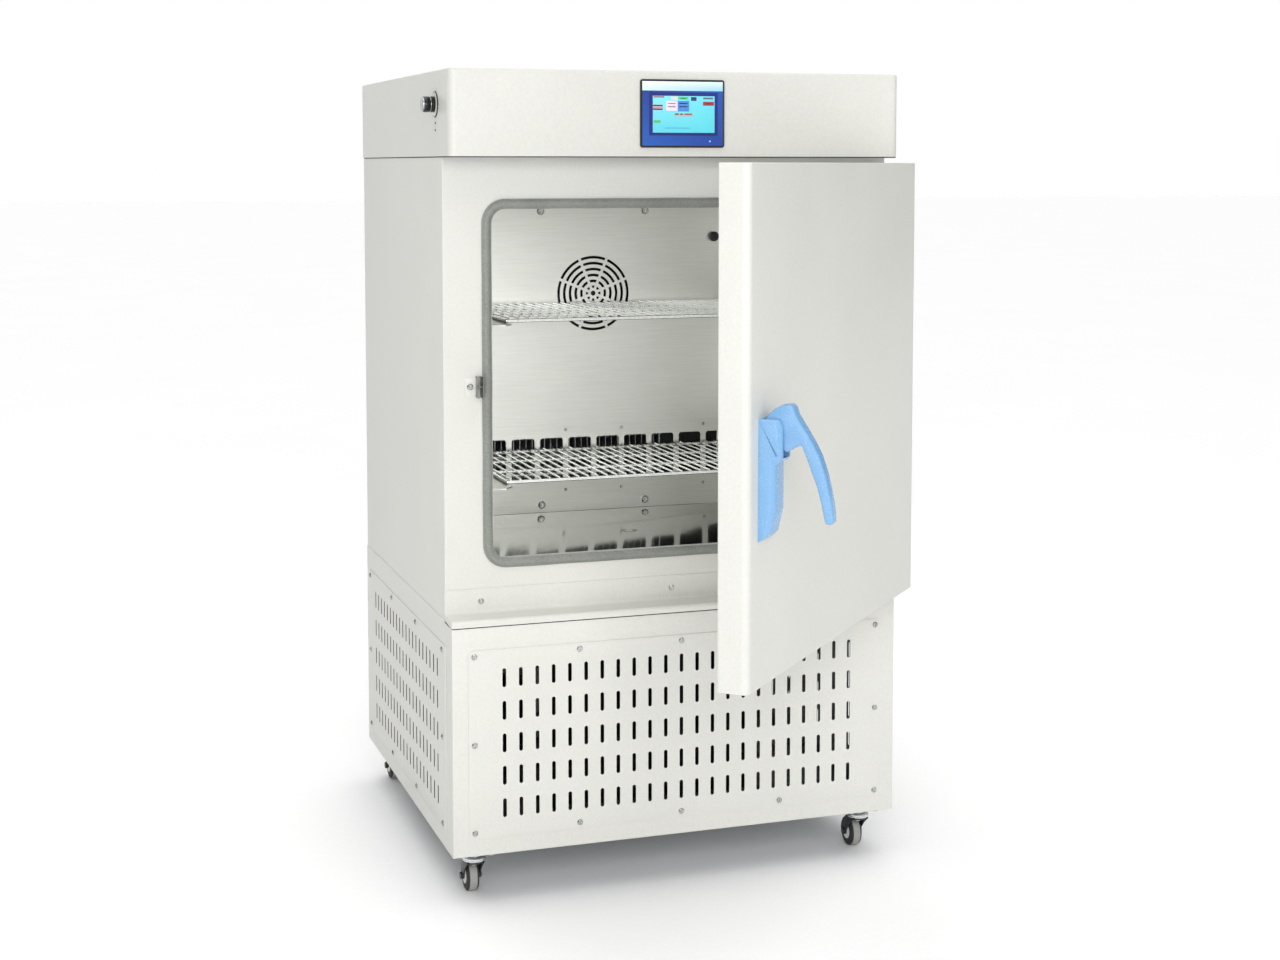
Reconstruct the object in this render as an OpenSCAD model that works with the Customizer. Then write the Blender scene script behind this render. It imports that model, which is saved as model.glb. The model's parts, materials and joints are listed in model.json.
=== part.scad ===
// Laboratory incubator: a cooled incubator on castors, with one insulated door standing open
// Units are millimetres. Origin: on the floor under the middle of the cabinet.
// X runs to the right, Y to the back and Z up, so the door side faces -Y.
// Heights on the cabinet are drawn from a line 70 mm below it, and lift() then stands it
// on its castors.

/* [Cabinet] */
// Width of the base and of the hood
cab_w = 756; // [740:2:800]
// Depth of the base and of the hood
cab_d = 700; // [696:2:760]
// Height of the top of the base
base_top = 434; // [430:1:440]
// Height of the hood's underside
hood_z = 1166; // [1160:1:1180]
// Height of the hood's top
cab_h = 1300; // [1296:2:1330]
// How far the chamber's front stands back from the base's front
recess = 50; // [50:1:56]
// Thickness of the steel sheet
sheet = 1.5; // [1.2:0.1:1.5]

/* [Chamber] */
// Clear width of the chamber
room_w = 596; // [590:2:600]
// Height of the lower edge of the door opening
room_z0 = 531; // [530:1:534]
// Height of the upper edge of the door opening
room_z1 = 1085; // [1080:1:1085]
// Distance from the chamber's front face to the fan panel
duct_in = 427; // [420:1:430]
// Width of the door seal
seal_w = 16; // [14:1:18]
// Height of the upper shelf's frame
shelf_hi = 901; // [880:1:920]
// Height of the lower shelf's frame
shelf_lo = 637.5; // [620:0.5:645]
// Spacing of the shelf wires
wire_pitch = 16.4; // [15:0.1:18]

/* [Door] */
// Thickness of the door
door_t = 44; // [42:1:44]
// Height of the door's lower edge
door_z0 = 450; // [449:1:454]
// Height of the door's upper edge
door_z1 = 1156; // [1150:1:1158]
// Radius of the door's outer upright edges
door_r = 11; // [6:1:14]
// Angle at which the door stands open
door_open = 47; // [0:1:110]
// Diameter of the hinge pins
pin_d = 8; // [6:1:8]

/* [Vents] */
// Width of a vent slot
vent_w = 6; // [4:0.5:8]
// Length of a vent slot
vent_l = 30; // [20:1:34]
// Slot columns on the front panel
front_cols = 23; // [9:2:23]
// Slot columns on each side panel
side_cols = 20; // [8:2:20]
// Slot rows on every panel
vent_rows = 5; // [3:2:5]

/* [Castors] */
// Height of the castors, from the floor to the cabinet's underside
castor_h = 78; // [76:1:90]
// Wheel diameter
wheel_d = 50; // [46:1:50]
// Wheel width
wheel_w = 20; // [18:1:22]
// How far the wheel trails behind the swivel
trail = 25; // [22:1:26]

/* [Which part] */
// Part to show

/* [Hidden] */
$fn = 64;
// Common faces
base_z = 70;
hw = cab_w / 2;
hd = cab_d / 2;
front = -hd;
mid_front = front + recess;
mid_in = 1;
side_top = base_top + 4;
sill_top = base_top + 12;
sill_rise = base_top + 51;
// Chamber
rw = room_w / 2;
room_floor = 519;
room_roof = 1086;
room_back = 262;
duct_y = mid_front + duct_in;
fan_z = 920;
grille_z = 618;
deck_top = side_top + sheet;
drain_y = -83;
// Door and its latch; door pieces are drawn shut and then swung about the pin
pin_x = hw + 22;
pin_y = front + 32;
door_hw = hw - 0.5;
door_in = front + door_t;
latch_x = -321.5;
latch_z = 806;
hook_y = front + 10;
lever_p = 14;
hook_lift = 20;
pocket = [-347, -316];
// Panels
panel_z = 248;
panel_h = 300;
front_w = 705;
side_w = 641;
side_mid = 12.5;
rear_w = 640;
vent_px = 26.8;
vent_py = 52;
side_px = 27;
// Display and switch
lcd_z = 1233.5;
knob_y = front + 88;
knob_z = 1247;
// Castors
castor_x = hw - 43.5;
castor_y = hd - 43;
ring_z = castor_h - 12;
king_d = 10;
axle_d = 8;
run_gap = 0.05;
// Cooling parts in the base
coil = [-210, 130];
cond_fan = [-40, 240];

// ---- Helpers ----

// A box between two limits on each axis
module box(x, y, z) translate([x[0], y[0], z[0]])
  cube([x[1] - x[0], y[1] - y[0], z[1] - z[0]]);
// Cylinders along each axis, between two limits
module cyl_x(x, y, z, r) translate([x[0], y, z]) rotate([0, 90, 0])
  cylinder(h = x[1] - x[0], r = r);
module cyl_y(x, y, z, r) translate([x, y[0], z]) rotate([-90, 0, 0])
  cylinder(h = y[1] - y[0], r = r);
module cyl_z(x, y, z, r) translate([x, y, z[0]]) cylinder(h = z[1] - z[0], r = r);
// A flat shape drawn in X and Z, given thickness from y - t to y
module on_front(y, t) translate([0, y, 0]) rotate([90, 0, 0]) linear_extrude(t) children();
// A flat shape drawn in Y and Z, given thickness from x to x + t
module on_side(x, t) translate([x, 0, 0]) rotate([90, 0, 90]) linear_extrude(t) children();
// A rounded rectangle about its centre
module rrect(w, h, r) {
  square([w - 2 * r, h], center = true);
  square([w, h - 2 * r], center = true);
  for (x = [-1, 1], y = [-1, 1]) translate([x * (w / 2 - r), y * (h / 2 - r)]) circle(r);
}
// One upright slot with round ends
module slot(w, l) {
  square([w, l - w], center = true);
  for (s = [-1, 1]) translate([0, s * (l - w) / 2]) circle(w / 2);
}
// A field of slots about the origin
module slots(cols, px, rows) {
  for (i = [0:cols - 1], j = [0:rows - 1])
    translate([(i - (cols - 1) / 2) * px, (j - (rows - 1) / 2) * vent_py])
      slot(vent_w, vent_l);
}
// Left and right copies
module both() {
  children();
  mirror([1, 0, 0]) children();
}
// Pan head with a cross recess, its seat at z = 0 and its top towards +z
module pan_head(r = 4.6, h = 2.4) difference() {
  rotate_extrude() polygon([[0, 0], [r, 0], [r, h * 0.45], [r * 0.72, h], [0, h]]);
  for (a = [0, 90]) rotate(a) translate([0, 0, h]) cube([r, 0.9, 1.6], center = true);
}
// Raises a piece of the cabinet onto the castors
module lift() translate([0, 0, castor_h - base_z]) children();
// Everything that swings with the door
module swing() translate([pin_x, pin_y, 0]) rotate(door_open)
  translate([-pin_x, -pin_y, 0]) children();
// A straight tube between two points along one axis, with brazed elbows at the bends
module run(pts, r) {
  for (i = [0:len(pts) - 2]) {
    a = pts[i];
    b = pts[i + 1];
    lo = [min(a[0], b[0]), min(a[1], b[1]), min(a[2], b[2])];
    d = [abs(a[0] - b[0]), abs(a[1] - b[1]), abs(a[2] - b[2])];
    if (d[0] > 0) cyl_x([lo[0], lo[0] + d[0]], lo[1], lo[2], r);
    if (d[1] > 0) cyl_y(lo[0], [lo[1], lo[1] + d[1]], lo[2], r);
    if (d[2] > 0) cyl_z(lo[0], lo[1], [lo[2], lo[2] + d[2]], r);
  }
  for (i = [1:len(pts) - 2]) translate(pts[i]) sphere(r + 0.6);
}
// A finned coil: thin plates on cross tubes between two end plates
module fin_coil(x, y, z, n, cols, rows, tube_r) {
  pitch = (x[1] - x[0]) / (n - 1);
  for (i = [0:n - 1]) {
    t = i == 0 || i == n - 1 ? 2 : 0.8;
    translate([x[0] + i * pitch - t / 2, y[0], z[0]]) cube([t, y[1] - y[0], z[1] - z[0]]);
  }
  for (i = [0:cols - 1], j = [0:rows - 1])
    cyl_x([x[0] - 8, x[1] + 8], y[0] + (i + 0.5) * (y[1] - y[0]) / cols,
      z[0] + (j + 0.5) * (z[1] - z[0]) / rows, tube_r);
}
// A propeller about the Y axis through the origin, hub from y[0] to y[1]
module propeller(y, hub_r, tip_r, chord, blades, tilt, bore_r) difference() {
  union() {
    cyl_y(0, y, 0, hub_r);
    for (i = [0:blades - 1]) rotate([0, i * 360 / blades, 0])
      translate([0, (y[0] + y[1]) / 2, (hub_r + tip_r) / 2 - 1]) rotate([0, 0, tilt])
        cube([chord, 1.6, tip_r - hub_r + 2], center = true);
  }
  cyl_y(0, [y[0] - 1, y[1] + 1], 0, bore_r);
}

// ---- Base ----

module base_pan() color([0.62, 0.64, 0.65]) lift() difference() {
  box([sheet - hw, hw - sheet], [sheet + front, hd - sheet], [base_z, base_z + 24]);
  box([sheet - hw + 2, hw - sheet - 2], [sheet + front + 2, hd - sheet - 2],
    [base_z + 2, base_z + 25]);
  for (x = [-120:40:120]) box([x, x + 12], [120, 230], [base_z - 1, base_z + 3]);
}

module lower_shell() color([0.86, 0.86, 0.83]) lift() difference() {
  union() {
    box([-hw, hw], [front, mid_front], [base_z, base_top]);
    box([-hw, hw], [mid_front - 1, hd], [base_z, side_top]);
  }
  box([sheet - hw, hw - sheet], [front + sheet, hd - sheet], [base_z - 1, side_top + 1]);
  box([35 - hw, hw - 35], [front - 1, front + 3], [panel_z - 133, panel_z + 133]);
  box([-hw - 1, hw + 1], [side_mid - 300, side_mid + 300], [panel_z - 133, panel_z + 133]);
  box([-300, 300], [hd - 3, hd + 1], [panel_z - 133, panel_z + 133]);
}

module front_vent_panel() color([0.89, 0.89, 0.86]) lift() on_front(front, sheet)
  translate([0, panel_z]) difference() {
    rrect(front_w, panel_h, 10);
    slots(front_cols, vent_px, vent_rows);
  }

module side_vent_panels() color([0.84, 0.84, 0.8]) lift() both() on_side(hw, sheet)
  translate([side_mid, panel_z]) difference() {
    rrect(side_w, panel_h, 10);
    translate([-8.5, 0]) slots(side_cols, side_px, vent_rows);
  }

inlet = [-230, 172];
module rear_panel() color([0.84, 0.84, 0.8]) lift() on_front(hd + sheet, sheet)
  translate([0, panel_z]) difference() {
    rrect(rear_w, panel_h, 10);
    translate([70, 0]) slots(15, vent_px, vent_rows);
    translate([inlet[0], inlet[1] - panel_z]) square([50, 30], center = true);
  }

module panel_screws() color([0.8, 0.81, 0.82]) lift() {
  for (i = [-2:2], z = [-1, 1]) translate([i * 171.5, front - sheet, panel_z + z * 140.5])
    rotate([90, 0, 0]) pan_head();
  for (x = [-343, 343]) translate([x, front - sheet, panel_z]) rotate([90, 0, 0]) pan_head();
  both() for (i = [0:3], z = [-1, 0, 1]) if (z != 0 || i == 0 || i == 3)
    translate([hw + sheet, side_mid - 299 + i * 199, panel_z + z * 140.5])
      rotate([0, 90, 0]) pan_head();
  for (x = [-1, 0, 1], z = [-1, 1]) translate([x * 305, hd + sheet, panel_z + z * 138])
    rotate([-90, 0, 0]) pan_head();
}

// Folded ledge over the base's front, with an upright strip against the chamber's front
module sill() color([0.88, 0.88, 0.85]) lift() {
  difference() {
    on_side(-hw, cab_w) difference() {
      union() {
        translate([front - 1 + 3, base_top]) square([recess - 2, 12]);
        translate([front - 1, base_top]) square([6, 9]);
        translate([front + 2, base_top + 9]) circle(3);
      }
      translate([front + 0.5, base_top - 1]) square([recess - 0.5, 11.5]);
    }
    box([-hw + 2, hw - 2], [front + 4, mid_front + 1], [base_top - 1, base_top + 8]);
  }
  box([-hw, hw], [mid_front - sheet, mid_front], [sill_top - sheet, sill_rise]);
}

module frame_screws() color([0.78, 0.79, 0.8]) lift() {
  for (i = [-1:1]) translate([i * 319, mid_front - sheet, base_top + 31])
    rotate([90, 0, 0]) pan_head();
  translate([latch_x - 13.5, mid_front - 2, latch_z]) rotate([90, 0, 0]) pan_head(5, 2.6);
}

// ---- Middle section ----

// Sides, back and bottom deck of the insulated middle
module mid_shell() color([0.86, 0.86, 0.83]) lift() difference() {
  box([mid_in - hw, hw - mid_in], [mid_front, hd - mid_in], [side_top, hood_z]);
  box([mid_in + sheet - hw, hw - mid_in - sheet], [mid_front - 1, hd - mid_in - sheet],
    [deck_top, hood_z + 1]);
  cyl_z(0, drain_y, [side_top - 1, deck_top + 1], 10);
}

module front_frame() color([0.87, 0.87, 0.84]) lift() difference() {
  union() {
    box([mid_in + sheet - hw, hw - mid_in - sheet], [mid_front, mid_front + sheet],
      [deck_top, hood_z]);
    box([-rw - sheet, rw + sheet], [mid_front, mid_front + 14],
      [room_z0 - sheet, room_z1 + sheet]);
  }
  box([-rw, rw], [mid_front - 1, mid_front + 20], [room_z0, room_z1]);
}

module chamber_liner() color([0.76, 0.77, 0.76]) lift() {
  difference() {
    box([-rw - sheet, rw + sheet], [mid_front + 14, room_back + sheet],
      [room_floor - sheet, room_roof + sheet]);
    box([-rw, rw], [mid_front + 13, room_back], [room_floor, room_roof]);
    cyl_z(0, drain_y, [room_floor - 5, room_floor + 5], 10);
  }
  box([-rw, rw], [mid_front + 14, mid_front + 15.5], [room_floor - 1, room_z0]);
}

module insulation() color([0.93, 0.88, 0.7]) lift() difference() {
  box([mid_in + sheet - hw, hw - mid_in - sheet], [mid_front + sheet, hd - mid_in - sheet],
    [deck_top, hood_z]);
  box([-rw - sheet, rw + sheet], [mid_front, mid_front + 15],
    [room_z0 - sheet, room_z1 + sheet]);
  box([-rw - sheet, rw + sheet], [mid_front + 14, room_back + sheet],
    [room_floor - sheet, room_roof + sheet]);
  cyl_z(0, drain_y, [base_top, room_floor + 5], 10);
}

module chamber_drain() color([0.72, 0.73, 0.73]) lift() difference() {
  union() {
    cyl_z(0, drain_y, [room_floor, room_floor + 1.2], 15);
    cyl_z(0, drain_y, [base_top - 24, room_floor + 0.6], 10);
  }
  cyl_z(0, drain_y, [base_top - 25, room_floor + 3], 8);
}

module seal_ring(w, in) difference() {
  rrect(2 * (rw + 1 + seal_w - in), room_z1 - room_z0 + 30 - 2 * in, 38 - in);
  rrect(2 * (rw + 1 + seal_w - in - w), room_z1 - room_z0 + 30 - 2 * in - 2 * w, 38 - in - w);
}
module door_gasket() color([0.55, 0.56, 0.54]) lift()
  translate([0, 0, (room_z0 + room_z1) / 2]) {
    on_front(mid_front, 2.6) seal_ring(seal_w, 0);
    on_front(mid_front - 2, recess - door_t - 2.3) seal_ring(seal_w - 6, 3);
  }

module striker() color([0.75, 0.76, 0.76]) lift() {
  box([latch_x - 21.5, latch_x + 4], [mid_front - 2, mid_front],
    [latch_z - 17, latch_z + 17]);
  for (x = [-4, 2.4]) difference() {
    box([latch_x + x, latch_x + x + 1.6], [mid_front - 24, mid_front],
      [latch_z - 17, latch_z + 17]);
    for (s = [-1, 1]) translate([latch_x + x - 1, mid_front - 24, latch_z + s * 17])
      rotate([45, 0, 0]) cube([4, 14, 14], center = true);
  }
  cyl_x([latch_x - 4, latch_x + 4], hook_y + 22, latch_z, 2.5);
}

// ---- Inside the chamber ----

module fan_slots() for (r = [68:-10.8:14]) difference() {
  circle(r);
  circle(r - 4.8);
  for (a = [0:45:135]) rotate(a + 22.5) square([4.8, 150], center = true);
}
probe = [233, 1021];
module duct_panel() color([0.77, 0.78, 0.77]) lift() {
  on_front(duct_y + sheet, sheet) difference() {
    translate([0, (room_floor + 3 + room_roof - 1) / 2])
      square([room_w - 2, room_roof - room_floor - 4], center = true);
    translate([0, fan_z]) fan_slots();
    translate([0, fan_z]) circle(4.6);
    translate([0, grille_z]) square([540, 94], center = true);
    translate(probe) circle(6);
  }
  both() box([rw - 2.5, rw - 1], [duct_y + 1, duct_y + 24],
    [room_floor + 3, room_roof - 1]);
}

module return_grille() color([0.76, 0.77, 0.76]) lift() on_front(duct_y, 1.2)
  translate([0, grille_z - 1]) difference() {
    square([room_w - 4, 128], center = true);
    for (i = [-4.5:4.5]) translate([i * 53.4, 1]) rrect(43, 80, 5);
  }

module duct_screws() color([0.82, 0.83, 0.83]) lift() {
  for (x = [-99, 99], z = [536, 1070]) translate([x, duct_y, z]) rotate([90, 0, 0])
    pan_head(7, 4);
  for (x = [-213.6, -53.4, 53.4, 213.6], z = [-56, 54])
    translate([x, duct_y - 1.2, grille_z + z]) rotate([90, 0, 0])
      cylinder(h = 1.2, r1 = 3, r2 = 2);
}

fan_y = duct_y + 12;
module fan_motor() color([0.35, 0.36, 0.38]) lift() {
  cyl_y(0, [fan_y + 24, fan_y + 70], fan_z, 32);
  cyl_y(0, [fan_y - 2, fan_y + 26], fan_z, 3);
  for (s = [-1, 1]) {
    box([min(s * 96, s * 99), max(s * 96, s * 99)], [duct_y + sheet, fan_y + 62],
      [fan_z - 12, fan_z + 12]);
    box([min(s * 24, s * 97), max(s * 24, s * 97)], [fan_y + 59, fan_y + 62],
      [fan_z - 12, fan_z + 12]);
  }
}

module evaporator() color([0.8, 0.8, 0.78]) lift()
  fin_coil([-200, 140], [duct_y + 36, duct_y + 100], [566, 670], 30, 2, 3, 5);

module heater() color([0.5, 0.42, 0.36]) lift() {
  translate([0, fan_y + 11, fan_z]) rotate([90, 0, 0]) rotate_extrude()
    translate([82, 0]) circle(4);
  for (x = [-14, 14]) cyl_z(x, fan_y + 11, [fan_z + 80, 1050], 4.3);
}

module shelf_rails() color([0.74, 0.75, 0.74]) lift() both()
  for (z = [shelf_hi - 3.3, shelf_lo - 3.3]) {
    translate([0, 0, z - 2]) linear_extrude(2) polygon([[rw, duct_y - 6],
      [rw, mid_front + 46], [rw - 34, mid_front + 46], [rw - 49, mid_front + 66],
      [rw - 49, duct_y - 6]]);
    box([rw - 2, rw], [mid_front + 46, duct_y - 6], [z - 22, z]);
  }

module temperature_probe() color([0.12, 0.12, 0.13]) lift() {
  cyl_y(probe[0], [duct_y - 8, duct_y], probe[1], 9);
  cyl_y(probe[0], [duct_y - 1, duct_y + 14], probe[1], 6);
  cyl_x([probe[0], rw - 6], duct_y - 4, probe[1], 2.5);
}

// ---- Hood ----

module hood_plan(in) {
  r = 12 - in;
  translate([in - hw, front + 12]) square([cab_w - 2 * in, cab_d - 12 - in]);
  translate([12 - hw, front + in]) square([cab_w - 24, 20]);
  for (s = [-1, 1]) translate([s * (hw - 12), front + 12]) circle(r);
}
module hood_shell() color([0.87, 0.87, 0.84]) lift() difference() {
  translate([0, 0, hood_z]) linear_extrude(cab_h - hood_z) hood_plan(0);
  translate([0, 0, hood_z - 1]) linear_extrude(cab_h - hood_z + 1 - sheet)
    hood_plan(sheet);
  box([-65, 65], [front - 1, front + 3], [lcd_z - 49, lcd_z + 49]);
  cyl_x([-hw - 1, 3 - hw], knob_y, knob_z, 8);
}

module hood_floor() color([0.8, 0.8, 0.78]) lift() translate([0, 0, hood_z])
  linear_extrude(sheet) hood_plan(sheet);

module display_bezel() color([0.07, 0.07, 0.08]) lift() {
  difference() {
    on_front(front, 3.4) translate([0, lcd_z]) rrect(141, 107, 4);
    box([-67.5, 67.5], [front - 4, front - 2], [lcd_z - 50.5, lcd_z + 50.5]);
  }
  box([-64, 64], [front - 1, front + 30], [lcd_z - 48, lcd_z + 48]);
}

module display_screen() color([0.16, 0.3, 0.66]) lift()
  box([-67.4, 67.4], [front - 3.2, front - 2], [lcd_z - 50.4, lcd_z + 50.4]);

module control_board() color([0.1, 0.4, 0.24]) lift() {
  box([-250, -90], [-150, 20], [hood_z + 12, hood_z + 13.6]);
  for (x = [-244, -96], y = [-144, 14])
    cyl_z(x, y, [hood_z + sheet, hood_z + 13], 3);
  box([-236, -196], [-130, -96], [hood_z + 13, hood_z + 40]);
  for (i = [0:3]) box([-180 + i * 20, -166 + i * 20], [-136, -118],
    [hood_z + 13, hood_z + 28]);
  for (i = [0:2]) cyl_z(-226 + i * 22, -20, [hood_z + 13, hood_z + 38], 8);
  box([-150, -126], [-70, -46], [hood_z + 13, hood_z + 16]);
}

module power_supply() color([0.7, 0.71, 0.72]) lift() difference() {
  box([100, 259], [-100, -2], [hood_z + sheet, hood_z + 40]);
  for (x = [116:12:240], y = [-84:16:-20]) cyl_z(x, y, [hood_z + 36, hood_z + 41], 3);
  box([99, 108], [-94, -8], [hood_z + 12, hood_z + 30]);
}

module switch_collar() color([0.1, 0.1, 0.11]) lift() difference() {
  union() {
    cyl_x([-hw - 1.5, -hw], knob_y, knob_z, 21);
    cyl_x([-hw - 9, -hw - 1], knob_y, knob_z, 12.5);
    cyl_x([-hw - 12, -hw - 9], knob_y, knob_z, 12);
    cyl_x([-hw - 1, 24 - hw], knob_y, knob_z, 7.8);
  }
  cyl_x([-hw - 13, 14 - hw], knob_y, knob_z, 4 + run_gap);
}

module switch_knob() color([0.55, 0.57, 0.6]) lift() difference() {
  union() {
    cyl_x([-hw - 19, -hw - 12.3], knob_y, knob_z, 12.5);
    cyl_x([-hw - 22, -hw - 19], knob_y, knob_z, 11);
    cyl_x([-hw - 13, 12 - hw], knob_y, knob_z, 4);
  }
  box([-hw - 23, -hw - 21.2], [knob_y - 1, knob_y + 1], [knob_z + 2, knob_z + 12]);
}

// ---- Cooling system in the base ----

comp = [-190, 150];
module compressor() color([0.1, 0.1, 0.11]) lift() {
  translate([comp[0], comp[1], 0]) {
    translate([0, 0, 96]) rotate_extrude() {
      square([72, 110]);
      square([42, 140]);
      translate([42, 110]) intersection() {
        circle(30);
        square(40);
      }
    }
    box([-100, 100], [-52, -24], [92, 96.5]);
    box([-100, 100], [24, 52], [92, 96.5]);
    box([66, 96], [-26, 26], [120, 176]);
  }
}

module compressor_mounts() color([0.16, 0.16, 0.16]) lift() translate([comp[0], comp[1], 0])
  for (x = [-86, 86], y = [-38, 38]) {
    cyl_z(x, y, [base_z + 2, 92], 11);
    cyl_z(x, y, [96.5, 101], 7);
  }

module condenser_coil() color([0.3, 0.31, 0.32]) lift()
  fin_coil(coil, [front + 44, front + 100], [116, 366], 34, 2, 6, 4.5);

module condenser_shroud() color([0.45, 0.46, 0.47]) lift() difference() {
  union() {
    box([coil[0], coil[1]], [front + 101, front + 128], [116, 366]);
    box([coil[0], coil[1]], [front + 60, front + 128], [base_z + 2, 115]);
  }
  box([coil[0] + 2, coil[1] - 2], [front + 100, front + 126], [118, 364]);
  cyl_y(cond_fan[0], [front + 120, front + 130], cond_fan[1], 98);
  box([coil[0] + 2, coil[1] - 2], [front + 62, front + 126], [base_z + 1, 113]);
}

module condenser_motor() color([0.25, 0.26, 0.28]) lift() {
  cyl_y(cond_fan[0], [front + 164, front + 214], cond_fan[1], 34);
  cyl_y(cond_fan[0], [front + 131, front + 166], cond_fan[1], 3);
  box([cond_fan[0] - 112, cond_fan[0] + 112], [front + 190, front + 193],
    [cond_fan[1] - 8, cond_fan[1] + 8]);
  for (s = [-1, 1])
    box([cond_fan[0] + s * 110.5 - 1.5, cond_fan[0] + s * 110.5 + 1.5],
      [front + 128, front + 192], [cond_fan[1] - 8, cond_fan[1] + 8]);
}

module refrigerant_lines() color([0.72, 0.45, 0.28]) lift() {
  run([[comp[0] + 60, comp[1], 234], [comp[0] + 60, comp[1], 300], [180, comp[1], 300],
    [180, front + 72, 300], [coil[1] + 8.5, front + 72, 300]], 4);
  run([[coil[1] + 8.5, front + 72, 160], [210, front + 72, 160], [210, 60, 160]], 4);
  cyl_y(210, [60, 190], 160, 11);
  run([[210, 190, 160], [210, 240, 160], [210, 240, 380], [120, 240, 380],
    [120, 240, base_top + 4]], 3);
  run([[-120, 240, base_top + 4], [-120, 240, 360], [comp[0] - 50, 240, 360],
    [comp[0] - 50, comp[1], 360], [comp[0] - 50, comp[1], 237]], 5);
}

module mains_inlet() color([0.08, 0.08, 0.09]) lift() {
  translate([inlet[0], 0, inlet[1]]) difference() {
    union() {
      box([-29, 29], [hd + sheet, hd + sheet + 2.5], [-17, 17]);
      box([-24.8, 24.8], [hd - 22, hd + 2], [-14.8, 14.8]);
    }
    box([-12, 12], [hd - 16, hd + 5], [-8.2, 8.2]);
  }
  for (i = [-1:1]) translate([inlet[0] + i * 7, 0, inlet[1] - (i == 0 ? -2 : 2)])
    box([-1, 1], [hd - 17, hd - 1], [-2, 2]);
}

// ---- Hinges ----

hinge_z = [556, 1062];
module cabinet_hinges() color([0.72, 0.73, 0.74]) lift() for (z = hinge_z) {
  box([hw - mid_in, hw + 3], [mid_front + 4, mid_front + 44], [z - 30, z + 30]);
  translate([0, 0, z - 30]) linear_extrude(28) polygon([[hw + 1, mid_front + 4],
    [pin_x - 7, pin_y + 2], [pin_x + 7, pin_y + 2], [hw + 3, mid_front + 34]]);
  cyl_z(pin_x, pin_y, [z - 30, z - 2], 9);
  cyl_z(pin_x, pin_y, [z - 3, z + 27], pin_d / 2);
  for (y = [14, 34], s = [-1, 1]) translate([hw + 3, mid_front + y, z + s * 20])
    rotate([0, 90, 0]) pan_head(4, 2);
}

module door_hinges() color([0.72, 0.73, 0.74]) lift() swing() for (z = hinge_z) {
  difference() {
    union() {
      cyl_z(pin_x, pin_y, [z - 1.4, z + 28], 9);
      translate([0, 0, z - 1.4]) linear_extrude(29.4) polygon([[door_hw, front + 12],
        [pin_x - 4, pin_y - 7.5], [pin_x - 4, pin_y + 5], [door_hw, front + 36]]);
      box([door_hw, door_hw + 3.5], [front + 13, front + 39], [z - 28, z + 28]);
    }
    cyl_z(pin_x, pin_y, [z - 2, z + 30], pin_d / 2 + run_gap);
  }
}

// ---- Door ----

module door_plan(in) {
  r = door_r - in;
  w = door_hw - in;
  translate([-w, front + door_r]) square([2 * w, door_t - door_r - 2]);
  translate([door_r - door_hw, front + in]) square([2 * (door_hw - door_r), 20]);
  for (s = [-1, 1]) translate([s * (door_hw - door_r), front + door_r]) circle(r);
}
module door_skin() color([0.9, 0.9, 0.87]) lift() swing() difference() {
  translate([0, 0, door_z0]) linear_extrude(door_z1 - door_z0) door_plan(0);
  translate([0, 0, door_z0 + sheet]) linear_extrude(door_z1 - door_z0 - 2 * sheet)
    union() {
      door_plan(sheet);
      translate([sheet - door_hw, door_in - 4])
        square([2 * (door_hw - sheet), 4]);
    }
}

module latch_box(in) box([pocket[0] + in, pocket[1] - in],
  [front + 4 + in, door_in + 1], [latch_z - 26 + in, latch_z + 26 - in]);
module door_liner() color([0.88, 0.88, 0.85]) lift() swing() {
  difference() {
    union() {
      box([-door_hw, door_hw], [door_in - 2, door_in], [door_z0, door_z1]);
      intersection() {
        latch_box(-1);
        box([-hw, 0], [front, door_in - 0.5], [door_z0, door_z1]);
      }
    }
    latch_box(0);
  }
  cyl_x([pocket[0] - 0.5, pocket[1] + 0.5], hook_y, latch_z, 2.5);
}

module door_foam() color([0.93, 0.88, 0.7]) lift() swing() difference() {
  translate([0, 0, door_z0 + sheet]) linear_extrude(door_z1 - door_z0 - 2 * sheet)
    door_plan(sheet);
  latch_box(-1);
}

handle_w = 44;
lever_w = 22;
// Drawn as stand-off from the door's face against height
module handle_side() polygon([[0, 650], [15.7, 663], [22.5, 695], [22.5, 757], [32, 763],
  [32, 812], [28, 816], [0, 816]]);
module lever_side() polygon([[5, 799], [3, 808], [7, 818], [16, 828], [28, 835],
  [41.7, 836], [48.2, 822], [59.6, 805], [71.8, 786], [80.8, 769], [89.6, 744],
  [94.1, 725], [98.2, 707], [100.6, 686], [98.5, 680.5], [93, 678], [88.5, 680],
  [84, 705], [77.5, 729], [69.5, 749], [63, 766], [56.5, 782], [42, 805], [27.9, 826],
  [24, 818], [23, 806], [19, 799], [12, 796.5]]);
// Puts a stand-off and height drawing onto the door, w wide about the latch's middle
module on_door(w) translate([latch_x + w / 2, front, 0]) rotate([90, 0, -90])
  linear_extrude(w) children();

module handle_base() color([0.56, 0.75, 0.93]) lift() swing() {
  difference() {
    on_door(handle_w) handle_side();
    box([latch_x - lever_w / 2 - 1, latch_x + lever_w / 2 + 1],
      [front - 40, front - 2], [794, 820]);
  }
  cyl_x([latch_x - handle_w / 2 + 2, latch_x + handle_w / 2 - 2], front - lever_p,
    latch_z, 3);
}

module lever() color([0.56, 0.75, 0.93]) lift() swing() difference() {
  on_door(lever_w) lever_side();
  cyl_x([latch_x - lever_w, latch_x + lever_w], front - lever_p, latch_z, 3 + run_gap);
}

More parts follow.
